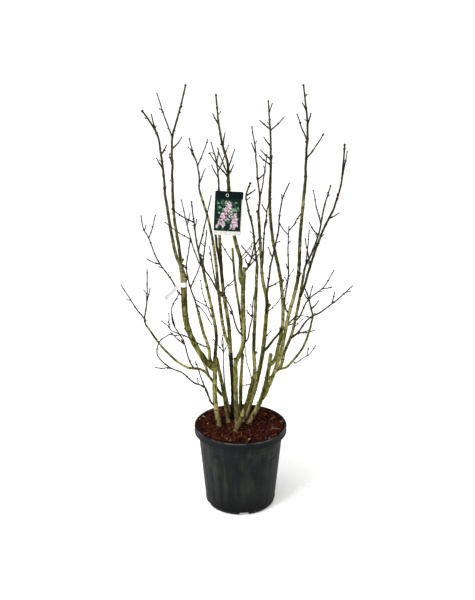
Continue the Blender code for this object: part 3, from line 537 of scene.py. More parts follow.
# Each ring of a bud: share of its length, share of its widest
BUD_PROFILE = ((0.0, 0.55), (0.22, 0.95), (0.5, 1.0), (0.78, 0.62), (1.0, 0.10))
BUD_SIZES = (0.75, 1.15)     # of the side buds, against the plain size
TIP_BUD_SIZES = (0.9, 1.2)
LOST_BUD = 0.12              # chance that a bud has fallen
BUD_LEAN = 0.42              # a bud's lean off its twig, as a slope
TIP_LEAN = 0.25
THIN_TIP = 0.0016            # radius of a tip with buds of the plain size
STRONG_TIP = 1.2             # how much bigger they are as the tip doubles
SPRIG_SPACING = 0.050        # the finest twigs, which only the looks have
SPRIG_CHANCE = 0.12
SPRIG_LENGTHS = (0.007, 0.015)
SPRIG_LEAN = 0.7             # how far a sprig leans on along its twig, as a slope
SPRIG_RISE = 0.2             # how much it turns up, and how much more from its bend on
SPRIG_TIP_RISE = 0.35
SPRIG_BEND = 0.55            # share of its length before the bend
SPRIG_THICK = (0.20, 0.14)   # cm, the most at its foot, and its tip
SPRIG_SHARE = 0.8            # of the thickness of its twig
SUNK = 0.006                 # a stem's foot goes this far into the mulch
ROUND_END = (0.35, 0.65, 0.88, 0.98)   # the rings of a domed end, as shares of its height
BOUGH_END = 0.35             # height of a bough's end, in its radii
FADE_ROWS = 6                # no spurs on a limb's last rings, where its relief fades
FADE_TO = 0.2                # to this share

# Swellings at the scars of old wood
FIRST_NODE = (0.4, 0.9)      # the first one's place, in spacings
NODE_STRAY = (0.75, 1.25)    # from one to the next, in spacings
NODE_TURN_STRAY = 0.2        # radians either side of a quarter turn
NODE_END_ROOM = 0.004        # none stand nearer the end
SWELL_LENGTH = 0.0024
SWELL_HEIGHT = 0.0011
SWELL_MOST = 0.22            # of the radius
SWELL_ALL_ROUND = 0.35       # share of it that goes all the way round

# Stems and boughs where they start
FOOT_SWELL = 0.10            # of the radius, just over the mulch
FOOT_SWELL_HEIGHT = 0.008
COLLAR_LENGTH = 0.010
LOBES = 4                    # low ribs round a stem's foot
LOBE_HEIGHT = 0.06
LOBE_REACH = 0.012

# Short dead spurs on stems and resting buds on boughs
SPUR_CHANCE = 0.25
RESTING_BUD_CHANCE = 0.55
SPUR_LEAN = 0.7              # on along the limb, as a slope
RESTING_BUD_LEAN = 1.1
SPUR_LENGTHS = (0.0008, 0.0024)        # beyond 1.2 radii of the limb
SPUR_PROFILE = ((0, 0.0019), (0.7, 0.0016), (1.0, 0.0011))   # share of its length, radius
SPUR_SIDES = 7

# Twigs
MAIN_TWIG_SIDES = 8
TWIG_SIDES = 7
SPRIG_SIDES = 6
TWIG_FIRST_NODE = (0.35, 0.8)
TWIG_NODE_STRAY = (0.7, 1.2)
TWIG_TURN_STRAY = 0.25
TWIG_END_ROOM = 0.008
TWIG_SWELL = 0.24
TWIG_SWELL_LENGTH = 0.0019
TWIG_COLLAR_LENGTH = 0.006
TWIG_GRAIN = 0.5             # of the relief of old bark
SWAY = 0.0011                # how far a twig bends to a side at a node
OLD_TWIG = 0.0023            # radius over which its wood is olive,
YOUNG_TWIG = 0.0014          # and over which it is grey-brown
MIDDLE_REACH = 0.09          # twigs nearer the middle than this go in the middle piece

# Each ring of a pruned stub: share of its length, share of its thickness
STUB_PROFILE = ((0, 1.15), (0.35, 1.05), (0.65, 1), (0.92, 1.06), (1.0, 0.98))
STUB_SHARE = 0.72            # of the thickness of its limb
STUB_LEAN = 0.3              # how far it leans on along its limb, as a slope
STUB_SIDES = 14

# Where a limb was pruned beside the shoot that took over: share of the limb,
# length in cm, lean to the right and to the back in degrees
PRUNED = {
    "bough_left_leader": ((0.42, 1.6, -35, -10), (0.93, 1.2, 38, -20)),
    "bough_upper_left_inner": ((0.16, 1.3, 40, -10),),
    "stem_centre": ((1.0, 1.1, 10, -12), (0.40, 1.7, -14, -30), (0.62, 0.8, -50, -20)),
    "bough_back": ((0.38, 1.3, -40, -20),),
    "bough_front_upper": ((0.02, 1.4, 35, -15), (0.22, 0.9, 45, -20)),
    "stem_right_back": ((1.0, 1.3, 40, -10),),
    "bough_right_leader": ((0.44, 1.3, 30, -10),),
    "bough_right_front": ((0.62, 1.5, 28, -10),),
    "bough_low_right": ((1.0, 1.6, 25, -10),),
    "bough_left_front_tall": ((1.0, 0.8, 20, -20),),
    "bough_right_tall": ((0.62, 0.8, -45, -10), (1.0, 0.9, -35, -15)),
}

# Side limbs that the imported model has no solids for: limb, share of it, thickness in
# cm at the foot and the tip, places in cm. The first is a slim bough, past that
# model's limit on nodes. The others are thin twigs.
DEAD = (0.30, 0.22)          # the thickness of a dead twig
SIDE_TWIGS = (
    ("bough_back", 0.46, (0.95, 0.75),
     ((-7, 20.5, 77.9), (-7.8, 21, 82.6), (-8.2, 21.5, 86.3), (-8.3, 22, 93))),
    ("stem_centre_back", 0.92, (0.36, 0.26), ((-4.3, 2.6, 86.3), (-6.2, 2.2, 89.7))),
    ("bough_centre_leader", 0.25, (0.36, 0.24), ((1.9, -4.3, 89.2), (3.7, -5, 91.9))),
    ("bough_centre_leader", 0.22, DEAD, ((2.2, -4.5, 88.4), (3.4, -5, 90.8))),
    ("twigs_left_front", 0.19, DEAD, ((-11.7, -8.3, 73.1), (-8.6, -9.1, 71.1))),
    ("twigs_left_front", 0.12, DEAD, ((-11.1, -7.9, 70), (-8.9, -8.7, 66.3))),
    ("bough_left_front_tall", 0.43, DEAD, ((-10.8, -7.9, 73.3), (-11.9, -8.7, 77.8), (-12.3, -9.5, 81.3))),
    ("stem_thin_back", 0.82, DEAD, ((-7.5, 10.3, 52), (-9.1, 9.5, 54.5))),
    ("stem_thin_back", 0.84, DEAD, ((-6.2, 10.5, 52.7), (-5.8, 9.7, 55.9))),
    ("stem_thin_back", 0.79, DEAD, ((-5.2, 10.2, 50.6), (-3.8, 9.4, 53.1))),
    ("stem_right_back", 0.97, DEAD,
     ((11.7, 3.3, 69.4), (13.7, 2.5, 73.7), (15.6, 1.7, 79.3), (16.8, 0.9, 81.6))),
    ("stem_front", 0.90, DEAD, ((1.7, -7.7, 45.5), (0.8, -8.5, 45.5))),
    ("stem_front", 0.93, DEAD, ((2.3, -7.7, 52.1), (1.4, -8.5, 57.9), (1.2, -9.3, 60.9))),
    ("stem_right_back", 0.76, DEAD, ((8.9, 1.9, 59.2), (9.8, 1.1, 60.6))),
    ("bough_right_outer", 0.53, DEAD, ((20.4, 6.6, 63.7), (22.3, 5.8, 63.6))),
    ("bough_right_outer", 0.34, DEAD, ((19.4, 4.2, 58.7), (22.2, 3.4, 60))),
    ("bough_right_outer", 0.41, DEAD, ((18.4, 5.1, 61.5), (20.2, 4.3, 63.5))),
)


# ------------------------------------------------------------------ mesh making
class Shape:
    """Points, faces and material numbers gathered for one mesh."""

    def __init__(self):
        self.points = []
        self.faces = []
        self.slots = []
        self.count = 0

    def add(self, points, faces, slots):
        """slots is one material number, or one for each face."""
        self.points.append(np.asarray(points, float))
        self.faces.extend([tuple(c + self.count for c in face) for face in faces])
        self.slots.extend([slots] * len(faces) if isinstance(slots, int) else slots)
        self.count += len(points)

    def build(self, name, materials, sharp=60):
        """The finished object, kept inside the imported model's box."""
        points = np.clip(np.concatenate(self.points), CAD_LOW, CAD_HIGH)
        mesh = bpy.data.meshes.new(name)
        mesh.from_pydata(points.tolist(), [], self.faces)
        for material in materials:
            mesh.materials.append(material)
        mesh.polygons.foreach_set("material_index", self.slots)
        mesh.shade_smooth()
        mesh.set_sharp_from_angle(angle=math.radians(sharp))
        mesh.update()
        made = bpy.data.objects.new(name, mesh)
        bpy.context.scene.collection.objects.link(made)
        return made


def turns_round(sides):
    """The angles of a ring's points."""
    return np.arange(sides) * 2 * math.pi / sides


def ring_faces(rows, sides):
    """The quads between rings of points, and the two end caps."""
    faces = []
    for row in range(rows - 1):
        low = row * sides
        high = low + sides
        faces.extend((low + k, low + (k + 1) % sides, high + (k + 1) % sides, high + k)
                     for k in range(sides))
    faces.append(tuple(range(sides - 1, -1, -1)))
    faces.append(tuple(range((rows - 1) * sides, rows * sides)))
    return faces


def ring_points(centres, radii, sides, first_way=None, turn=(0.31, 0.77, 0.15)):
    """Rings round a line; radii has one value a ring, or one a point."""
    centres = np.asarray(centres, float)
    radii = np.asarray(radii, float)
    if radii.ndim == 1:
        radii = np.repeat(radii[:, None], sides, axis=1)
    ways = np.gradient(centres, axis=0)
    if first_way is not None:
        ways[0] = first_way
    ways /= np.linalg.norm(ways, axis=1)[:, None]
    turn = np.array(turn)
    angles = turns_round(sides)
    cosines, sines = np.cos(angles), np.sin(angles)
    rings = []
    for centre, way, reach in zip(centres, ways, radii):
        turn = turn - way * turn.dot(way)
        turn /= np.linalg.norm(turn)
        side = np.cross(way, turn)
        rings.append(centre + reach[:, None] * (cosines[:, None] * turn + sines[:, None] * side))
    return np.concatenate(rings)


def with_round_end(centres, radii, bluntness=0.6):
    """Adds the rings that close a limb's tip with a low dome."""
    centres = [np.asarray(c, float) for c in centres]
    radii = list(radii)
    way = centres[-1] - centres[-2]
    way /= np.linalg.norm(way)
    tip, reach = centres[-1], radii[-1]
    for lift in ROUND_END:
        centres.append(tip + way * reach * lift * bluntness)
        radii.append(reach * math.sqrt(1 - lift * lift))
    return centres, radii


def runs_along(centres):
    """The length from the start to each centre."""
    centres = np.asarray(centres, float)
    steps = np.linalg.norm(np.diff(centres, axis=0), axis=1)
    return np.concatenate(([0.0], np.cumsum(steps)))


# --------------------------------------------------------------- bark and twigs
def place_and_way(centres, index):
    """A place on a line and the way the line goes on from it."""
    place = Vector(centres[index])
    return place, (Vector(centres[index + 1]) - place).normalized()


def bark_relief(rule, runs, angles):
    """Lumps, long ridges and fine grain of bark, as a share of the radius."""
    relief = np.zeros((len(runs), len(angles)))
    for count, round_waves, lengths, height in BARK_WAVES:
        for _ in range(count):
            waves = rule.randint(*round_waves)
            pace = 2 * math.pi / rule.uniform(*lengths)
            start = rule.uniform(0, 2 * math.pi)
            relief += height * np.cos(waves * angles[None, :] + pace * runs[:, None] + start)
    return relief


def node_relief(rule, runs, angles, spacing, radius):
    """Swellings at the pairs of leaf scars, each pair a quarter turn from the last."""
    relief = np.zeros((len(runs), len(angles)))
    places_found = []
    run = spacing * rule.uniform(*FIRST_NODE)
    facing = rule.uniform(0, math.pi)
    while run < runs[-1] - NODE_END_ROOM:
        along = np.exp(-((runs - run) / SWELL_LENGTH) ** 2)
        across = SWELL_ALL_ROUND + (1 - SWELL_ALL_ROUND) * np.cos(angles - facing) ** 4
        swell = min(SWELL_MOST, SWELL_HEIGHT / radius)
        relief += swell * along[:, None] * across[None, :]
        places_found.append((run, facing))
        run += spacing * rule.uniform(*NODE_STRAY)
        facing += math.pi / 2 + rule.uniform(-NODE_TURN_STRAY, NODE_TURN_STRAY)
    return relief, places_found


def bark_piece(name, line, rule, foot):
    """One stem or bough as a mesh with the bark's relief, sunk into what it grows from."""
    centres = smooth_line(line.knots, BARK_STEP)
    runs = runs_along(centres)
    radii = line.radius_at(runs, runs[-1])
    way = line.first_way
    if foot:
        start = [centres[0] - way * SUNK]
        base_swell = FOOT_SWELL * np.exp(-runs / FOOT_SWELL_HEIGHT)
    else:
        start = [centres[0] - way * (line.sunk * share) for share in (1.0, 0.5)]
        base_swell = line.collar * np.exp(-runs / COLLAR_LENGTH)
    radii = radii * (1 + base_swell)
    centres = start + centres
    radii = np.concatenate(([radii[0]] * len(start), radii))
    centres, radii = with_round_end(centres, radii, BOUGH_END)
    radii = np.array(radii)
    runs = runs_along(centres)
    angles = turns_round(BARK_SIDES)
    relief = bark_relief(rule, runs, angles)
    if foot:
        lobes = LOBE_HEIGHT * np.cos(LOBES * angles + rule.uniform(0, 6))
        relief += lobes[None, :] * np.exp(-runs / LOBE_REACH)[:, None]
    middle = radii[len(radii) // 2]
    scars, nodes = node_relief(rule, runs, angles, OLD_NODE_SPACING, middle)
    fade = np.ones(len(runs))
    fade[-FADE_ROWS:] = np.linspace(1, FADE_TO, FADE_ROWS)
    reach = radii[:, None] * (1 + (relief + scars) * fade[:, None])
    faces = ring_faces(len(centres), BARK_SIDES)
    slots = scar_slots(len(faces), runs, angles, nodes, foot)
    shape = Shape()
    shape.add(ring_points(centres, reach, BARK_SIDES, way), faces, slots)
    add_spurs(shape, rule, centres, runs, radii, nodes, foot)
    for share, length, lean, back in PRUNED.get(name, ()):
        add_pruned(shape, line, share, length, lean, back)
    return shape


def scar_slots(count, runs, angles, nodes, foot):
    """Dark leaf scars: a ring of faces at each node, or two arcs of it on old stems."""
    slots = [0] * count
    for run, facing in nodes:
        row = int(np.searchsorted(runs, run)) - 1
        for number, angle in enumerate(angles):
            if not foot or math.cos(angle - facing) ** 2 > SCAR_ARC:
                slots[row * len(angles) + number] = 1
    return slots


def add_spurs(shape, rule, centres, runs, radii, nodes, foot):
    """Resting buds in pairs at a bough's nodes, and short dead spurs on old stems."""
    chance = SPUR_CHANCE if foot else RESTING_BUD_CHANCE
    lean = SPUR_LEAN if foot else RESTING_BUD_LEAN
    for run, facing in nodes:
        index = int(np.searchsorted(runs, run))
        if index >= len(centres) - FADE_ROWS:
            continue
        place, way = place_and_way(centres, index)
        out = across_way(way, facing)
        for side in (out, -out):
            if rule.random() > chance:
                continue
            aim = (side + way * lean).normalized()
            length = float(radii[index]) * 1.2 + rule.uniform(*SPUR_LENGTHS)
            points = [place + aim * (length * share) for share, _ in SPUR_PROFILE]
            points, reach = with_round_end(points, [radius for _, radius in SPUR_PROFILE])
            shape.add(ring_points(points, reach, SPUR_SIDES), ring_faces(len(points), SPUR_SIDES), 1)


def add_pruned(shape, line, share, length, lean, back):
    """A pruned stub, thick, with a flat dark cut at its end."""
    place, way, radius = line.at(share)
    aim = (aim_way(lean, back) + way * STUB_LEAN).normalized()
    reach = radius * STUB_SHARE
    run = radius + length * CM
    points = [place + aim * (run * share) for share, _ in STUB_PROFILE]
    widths = [reach * width for _, width in STUB_PROFILE]
    faces = ring_faces(len(points), STUB_SIDES)
    slots = [0] * (len(faces) - 1) + [1]
    shape.add(ring_points(points, widths, STUB_SIDES), faces, slots)


class TwigMaker:
    """Gathers the wood and the buds of all twigs."""

    def __init__(self):
        self.wood = {}
        self.buds = Shape()

    def shape_for(self, side):
        """The joined wood of one side of the shrub."""
        return self.wood.setdefault(side, Shape())

    def twig(self, side, line, rule, sides):
        """One twig: a knobbly tapering tube with pairs of buds and a forked tip."""
        centres = smooth_line(line.knots, TWIG_RING_STEP)
        runs = runs_along(centres)
        radii = line.radius_at(runs, runs[-1])
        centres = self.bend_at_nodes(centres, runs, rule)
        swell = np.ones(len(runs))
        nodes = []
        run = self.node_gap(radii[0]) * rule.uniform(*TWIG_FIRST_NODE)
        facing = rule.uniform(0, math.pi)
        while run < runs[-1] - TWIG_END_ROOM:
            swell += TWIG_SWELL * np.exp(-((runs - run) / TWIG_SWELL_LENGTH) ** 2)
            nodes.append((run, facing))
            run += self.node_gap(float(np.interp(run, runs, radii))) * rule.uniform(*TWIG_NODE_STRAY)
            facing += math.pi / 2 + rule.uniform(-TWIG_TURN_STRAY, TWIG_TURN_STRAY)
        swell += line.collar * np.exp(-np.maximum(0, runs - line.buried) / TWIG_COLLAR_LENGTH)
        if line.sunk:
            centres = [centres[0] - np.array(line.first_way) * line.sunk] + centres
            nodes = [(run + line.sunk, facing) for run, facing in nodes]
            runs = np.concatenate(([0.0], runs + line.sunk))
            radii = np.concatenate((radii[:1], radii))
            swell = np.concatenate((swell[:1], swell))
        angles = turns_round(sides)
        grain = TWIG_GRAIN * bark_relief(rule, runs, angles)
        reach = (radii * swell)[:, None] * (1 + grain)
        faces = ring_faces(len(centres), sides)
        ages = [self.age(radius) for radius in radii[:-1] for _ in range(sides)]
        self.shape_for(side).add(ring_points(centres, reach, sides, line.first_way), faces,
                                 ages + [ages[0], ages[-1]])
        self.bud_pairs(centres, runs, radii, nodes, rule)
        self.tip_buds(centres, radii, rule)

    @staticmethod
    def bend_at_nodes(centres, runs, rule):
        """A slight zigzag, as the shoot bends a little at each node."""
        count = max(3, int(runs[-1] / NODE_SPACING) + 2)
        marks = np.linspace(0, runs[-1], count)
        sway = [np.array([rule.uniform(-1, 1) for _ in range(3)]) * SWAY for _ in range(count)]
        sway[0] = sway[-1] = np.zeros(3)
        sway = np.array(sway)
        shift = np.stack([np.interp(runs, marks, sway[:, axis]) for axis in range(3)], axis=1)
        return [np.array(centre) + move for centre, move in zip(centres, shift)]

    @staticmethod
    def node_gap(radius):
        """Nodes stand further apart on strong shoots than on thin ones."""
        return NODE_SPACING * (0.55 + radius / 0.0030)

    @staticmethod
    def age(radius):
        """Material number: older wood is olive, young wood grey-brown, tips dark."""
        if radius > OLD_TWIG:
            return 0
        return 1 if radius > YOUNG_TWIG else 2

    def bud_pairs(self, centres, runs, radii, nodes, rule):
        """Two opposite buds at every node, though some have fallen."""
        for run, facing in nodes:
            index = min(int(np.searchsorted(runs, run)), len(centres) - 2)
            place, way = place_and_way(centres, index)
            out = across_way(way, facing)
            for side_out in (out, -out):
                if rule.random() < LOST_BUD:
                    continue
                size = rule.uniform(*BUD_SIZES)
                root = place + side_out * float(radii[index]) * 0.8
                self.bud(root, (way + side_out * BUD_LEAN).normalized(), size)

    def tip_buds(self, centres, radii, rule):
        """The pair of buds at a shoot's end, bigger on a strong shoot."""
        tip = Vector(centres[-1])
        way = (tip - Vector(centres[-2])).normalized()
        out = across_way(way, rule.uniform(0, math.pi))
        strong = 1 + STRONG_TIP * max(0, float(radii[-1]) / THIN_TIP - 1)
        for side_out in (out, -out):
            size = strong * rule.uniform(*TIP_BUD_SIZES)
            self.bud(tip - way * BUD_LENGTH * size * 0.8, (way + side_out * TIP_LEAN).normalized(), size)

    def bud(self, root, aim, size):
        """A pointed egg."""
        points = [root + aim * (BUD_LENGTH * size * share) for share, _ in BUD_PROFILE]
        reach = [BUD_WIDTH / 2 * size * width for _, width in BUD_PROFILE]
        self.buds.add(ring_points(points, reach, BUD_SIDES), ring_faces(len(points), BUD_SIDES), 0)


def side_twigs(lines):
    """The lines of the named side limbs that have no solids."""
    found = []
    for name, share, thick, route in SIDE_TWIGS:
        place, _, radius = lines[name].at(share)
        found.append(side_line([place, *places(route)], TWIG_STEP, thick, radius, SPRIG_COLLAR))
    return found


def side_of(line):
    """Which of the joined wood pieces a twig goes in."""
    across = sum(place.x for place in line.points) / len(line.points)
    if across < -MIDDLE_REACH:
        return "left"
    return "middle" if across < MIDDLE_REACH else "right"


def sprigs(line, rule):
    """The finest twigs of the rule: short sprigs at some nodes of a twig."""
    found = []
    count = int(line.length / SPRIG_SPACING)
    for number in range(count):
        if rule.random() > SPRIG_CHANCE:
            continue
        share = (number + rule.uniform(0.3, 0.8)) / (count + 0.3)
        place, way, radius = line.at(share)
        out = across_way(way, rule.uniform(0, 2 * math.pi))
        aim = (way * SPRIG_LEAN + out + Vector((0, 0, SPRIG_RISE))).normalized()
        length = rule.uniform(*SPRIG_LENGTHS)
        bend = place + aim * length * SPRIG_BEND
        steeper = (aim + Vector((0, 0, SPRIG_TIP_RISE))).normalized()
        tip = bend + steeper * length * (1 - SPRIG_BEND)
        thick = (min(SPRIG_THICK[0], radius * SPRIG_SHARE * 2 / CM), SPRIG_THICK[1])
        found.append(side_line([place, bend, tip], SPRIG_SPACING, thick, radius, SPRIG_COLLAR))
    return found


# -------------------------------------------------------------------- materials
def screen(red, green, blue):
    """A linear colour from screen values of 0 to 255."""
    shares = [value / 255 for value in (red, green, blue)]
    return (*[s / 12.92 if s <= 0.04045 else ((s + 0.055) / 1.055) ** 2.4 for s in shares], 1)


MIX_INPUTS = (0, 6, 7)       # the mix node's sockets for a share and two colours
MIX_OUTPUT = 2


class Look:
    """One procedural material, built from noise in object coordinates."""

    def __init__(self, name, roughness, gloss=0.05):
        self.made = bpy.data.materials.new(name)
        self.made.use_nodes = True
        self.tree = self.made.node_tree
        self.shader = self.tree.nodes["Principled BSDF"]
        self.shader.inputs["Roughness"].default_value = roughness
        self.shader.inputs["Specular IOR Level"].default_value = gloss
        self.coordinates = self.tree.nodes.new("ShaderNodeTexCoord").outputs["Object"]

    def mapped(self, stretch):
        """Object coordinates, scaled on each axis."""
        node = self.tree.nodes.new("ShaderNodeMapping")
        node.inputs["Scale"].default_value = stretch
        self.tree.links.new(self.coordinates, node.inputs["Vector"])
        return node.outputs["Vector"]

    def noise(self, scale, detail=3, stretch=(1, 1, 1)):
        """Soft clouds, about scale of them a metre."""
        node = self.tree.nodes.new("ShaderNodeTexNoise")
        node.inputs["Scale"].default_value = scale
        node.inputs["Detail"].default_value = detail
        self.tree.links.new(self.mapped(stretch), node.inputs["Vector"])
        return node.outputs["Fac"]

    def cells(self, scale, stretch=(1, 1, 1)):
        """The distance to the nearest of many scattered dots."""
        node = self.tree.nodes.new("ShaderNodeTexVoronoi")
        node.inputs["Scale"].default_value = scale
        self.tree.links.new(self.mapped(stretch), node.inputs["Vector"])
        return node.outputs["Distance"]

    def height(self, low, high):
        """0 to 1 between two heights."""
        split = self.tree.nodes.new("ShaderNodeSeparateXYZ")
        self.tree.links.new(self.coordinates, split.inputs["Vector"])
        node = self.tree.nodes.new("ShaderNodeMapRange")
        node.inputs["From Min"].default_value = low
        node.inputs["From Max"].default_value = high
        self.tree.links.new(split.outputs["Z"], node.inputs["Value"])
        return node.outputs["Result"]

    def ramp(self, source, stops):
        """stops are (place, colour) pairs."""
        node = self.tree.nodes.new("ShaderNodeValToRGB")
        elements = node.color_ramp.elements
        while len(elements) < len(stops):
            elements.new(0.5)                # its place and colour are set below
        for element, (place, colour) in zip(elements, sorted(stops)):
            element.position = place
            element.color = colour
        self.tree.links.new(source, node.inputs["Fac"])
        return node.outputs["Color"]

    def share(self, source, low, high, most=1.0):
        """A grey value that goes from 0 to most as the source goes from low to high."""
        return self.ramp(source, ((low, (0, 0, 0, 1)), (high, (most, most, most, 1))))

    def mix(self, share, first, second):
        """From the first colour to the second as the share goes from 0 to 1."""
        node = self.tree.nodes.new("ShaderNodeMix")
        node.data_type = "RGBA"
        for number, value in zip(MIX_INPUTS, (share, first, second)):
            if isinstance(value, (tuple, float)):
                node.inputs[number].default_value = value
            else:
                self.tree.links.new(value, node.inputs[number])
        return node.outputs[MIX_OUTPUT]

    def colour(self, source):
        """The surface's colour, fixed or from a node."""
        if isinstance(source, tuple):
            self.shader.inputs["Base Color"].default_value = source
        else:
            self.tree.links.new(source, self.shader.inputs["Base Color"])

    def bump(self, source, height):
        """Fine relief of a height in metres."""
        node = self.tree.nodes.new("ShaderNodeBump")
        node.inputs["Strength"].default_value = 1
        node.inputs["Distance"].default_value = height
        self.tree.links.new(source, node.inputs["Height"])
        self.tree.links.new(node.outputs["Normal"], self.shader.inputs["Normal"])


def bark_look(name, deep, middle, light, foot, top):
    """Smooth young bark: cloudy tones, long dark streaks, pale pores and a browner foot."""
    look = Look(name, 0.72)
    cloud = look.noise(26, 4, (1, 1, 0.30))
    tone = look.ramp(cloud, ((0.34, deep), (0.50, middle), (0.68, light)))
    tone = look.mix(look.share(look.height(0.58, 1.10), 0.0, 1.0, 0.85), tone, top)
    near_foot = look.share(look.height(0.40, 0.28), 0.0, 1.0, 0.80)
    earthy = look.ramp(look.noise(60, 3, (1, 1, 0.3)), ((0.35, foot[0]), (0.65, foot[1])))
    tone = look.mix(near_foot, tone, earthy)
    streaks = look.share(look.noise(130, 3, (1, 1, 0.12)), 0.52, 0.64, 0.85)
    tone = look.mix(streaks, tone, deep)
    patches = look.share(look.noise(70, 3, (1, 1, 0.45)), 0.56, 0.66, 0.70)
    tone = look.mix(patches, tone, light)
    flecks = look.share(look.noise(95, 2, (1, 1, 0.7)), 0.60, 0.66, 0.90)
    tone = look.mix(flecks, tone, deep)
    pores = look.share(look.cells(260, (1, 1, 0.7)), 0.16, 0.10, 0.35)
    tone = look.mix(pores, tone, screen(170, 160, 124))
    look.colour(tone)
    look.bump(look.noise(240, 4, (1, 1, 0.22)), 0.0009)
    return look.made


def twig_look(name, tones, roughness=0.7):
    """Wood of one age, a little cloudy, with fine grain."""
    look = Look(name, roughness)
    look.colour(look.ramp(look.noise(90, 3, (1, 1, 0.35)), ((0.35, tones[0]), (0.65, tones[1]))))
    look.bump(look.noise(500, 3, (1, 1, 0.3)), 0.0003)
    return look.made


def plastic_look():
    """Dull black moulded plastic: dusty, with painted shade on the ring and low down and a painted
    highlight on the lip.
    """
    look = Look("pot_plastic", 0.52, 0.09)
    base = look.ramp(look.noise(7, 3), ((0.35, screen(11, 16, 18)), (0.65, screen(20, 26, 27))))
    dust = look.share(look.noise(20, 5, (1, 1, 0.4)), 0.50, 0.74, 0.40)
    tone = look.mix(dust, base, screen(60, 64, 50))
    runs = look.share(look.noise(70, 3, (1, 1, 0.05)), 0.55, 0.70, 0.25)
    tone = look.mix(runs, tone, screen(66, 70, 54))
    # Painted shade: darker towards the bottom, nearly black at the foot. The pale dirt splashes below use
    # the same low band.
    low = look.share(look.height(0.10, 0.025), 0.0, 1.0, 0.95)
    tone = look.mix(low, tone, screen(2, 4, 3))
    splashes = look.share(look.noise(300, 4), 0.58, 0.68, 0.30)
    tone = look.mix(splashes, tone, look.mix(low, tone, screen(74, 76, 60)))
    ring_foot = POT_HEIGHT - RIM_DEPTH
    # Painted shade on the lip's ring and on the wall just under it, where the ring's shadow falls.
    ring_painted_shade = look.share(look.height(ring_foot - 0.005, ring_foot - 0.002), 0.0, 1.0, 0.80)
    tone = look.mix(ring_painted_shade, tone, screen(12, 17, 20))
    # Painted highlight: the top of the lip is mixed towards a pale grey, as if it caught the light.
    on_lip = look.share(look.height(POT_HEIGHT - 0.0030, POT_HEIGHT - 0.0010), 0.0, 1.0, 0.60)
    painted_lip_highlight = look.ramp(look.noise(30, 3), ((0.40, screen(34, 40, 42)), (0.62, screen(92, 96, 94))))
    tone = look.mix(on_lip, tone, painted_lip_highlight)
    specks = look.share(look.cells(420), 0.12, 0.06, 0.25)
    tone = look.mix(specks, tone, screen(90, 88, 72))
    look.colour(tone)
    look.bump(look.noise(900, 2), 0.0002)
    return look.made


def chip_look(name, deep, light):
    """Dull broken bark of one tone."""
    look = Look(name, 0.92)
    look.colour(look.ramp(look.noise(160, 4), ((0.35, deep), (0.66, light))))
    look.bump(look.noise(420, 4), 0.0008)
    return look.made


def plain_look(name, colour, roughness, gloss=0.3):
    """Printed card, tape or cord, with the faintest unevenness."""
    look = Look(name, roughness, gloss)
    shade = tuple(value * 0.86 for value in colour[:3]) + (1,)
    look.colour(look.ramp(look.noise(70, 3), ((0.40, shade), (0.60, colour))))
    look.bump(look.noise(300, 2), 0.0001)
    return look.made


OLIVE_BARK = bark_look("bark_olive", screen(38, 36, 10), screen(104, 104, 44), screen(158, 152, 98),
                       (screen(60, 44, 24), screen(142, 128, 92)), screen(52, 46, 30))
# Painted shade: a near-black copy of the bark for the back stem that stands in shade.
SHADED_BARK = bark_look("bark_dark", screen(10, 8, 4), screen(24, 21, 11), screen(52, 47, 24),
                      (screen(8, 6, 4), screen(20, 15, 10)), screen(60, 53, 37))
CUT_WOOD = twig_look("cut_wood", (screen(24, 16, 9), screen(56, 42, 26)), 0.9)
TWIG_LOOKS = [twig_look("twig_older", (screen(32, 29, 14), screen(64, 60, 34))),
              twig_look("twig_young", (screen(28, 24, 15), screen(54, 48, 34))),
              twig_look("twig_tip", (screen(22, 17, 13), screen(44, 37, 30)))]
BUD_LOOK = twig_look("bud_scales", (screen(18, 10, 8), screen(42, 24, 18)), 0.6)


# --------------------------------------------------------------- pieces of shrub
def finish_piece(piece, nodes):
    """Every piece rides on the root and stands for its nodes."""
    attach(piece, "root")
    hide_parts(*nodes)


def make_bark(lines):
    """One piece for each stem and bough."""
    for name in [*STEMS, *BOUGHS]:
        is_stem = name in STEMS
        rule = random.Random(f"{SEED} bark {name}")
        shape = bark_piece(name, lines[name], rule, is_stem)
        # stem_dark takes the near-black bark of painted shade.
        look = SHADED_BARK if name == "stem_dark" else OLIVE_BARK
        piece = shape.build("bark_" + name, [look, CUT_WOOD])
        finish_piece(piece, [name])


def make_twigs(lines, twigs):
    """All twigs in three joined pieces, left, middle and right, and all their buds in one."""
    maker = TwigMaker()
    sides = {}
    for name in MASSES:
        rule = random.Random(f"{SEED} twigs {name}")
        main = lines[name]
        side = side_of(main)
        sides.setdefault(side, []).append(name)
        maker.twig(side, main, rule, MAIN_TWIG_SIDES)
        for line in twigs[name]:
            maker.twig(side, line, rule, TWIG_SIDES)
        for line in [main, *twigs[name]]:
            for sprig in sprigs(line, rule):
                maker.twig(side, sprig, rule, SPRIG_SIDES)
    for line in side_twigs(lines):
        maker.twig(side_of(line), line, random.Random(f"{SEED} {line.length:.4f}"), SPRIG_SIDES)
    for side, shape in maker.wood.items():
        piece = shape.build("twigs_" + side, TWIG_LOOKS)
        finish_piece(piece, sides[side])
    buds = maker.buds.build("buds", [BUD_LOOK])
    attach(buds, "root")


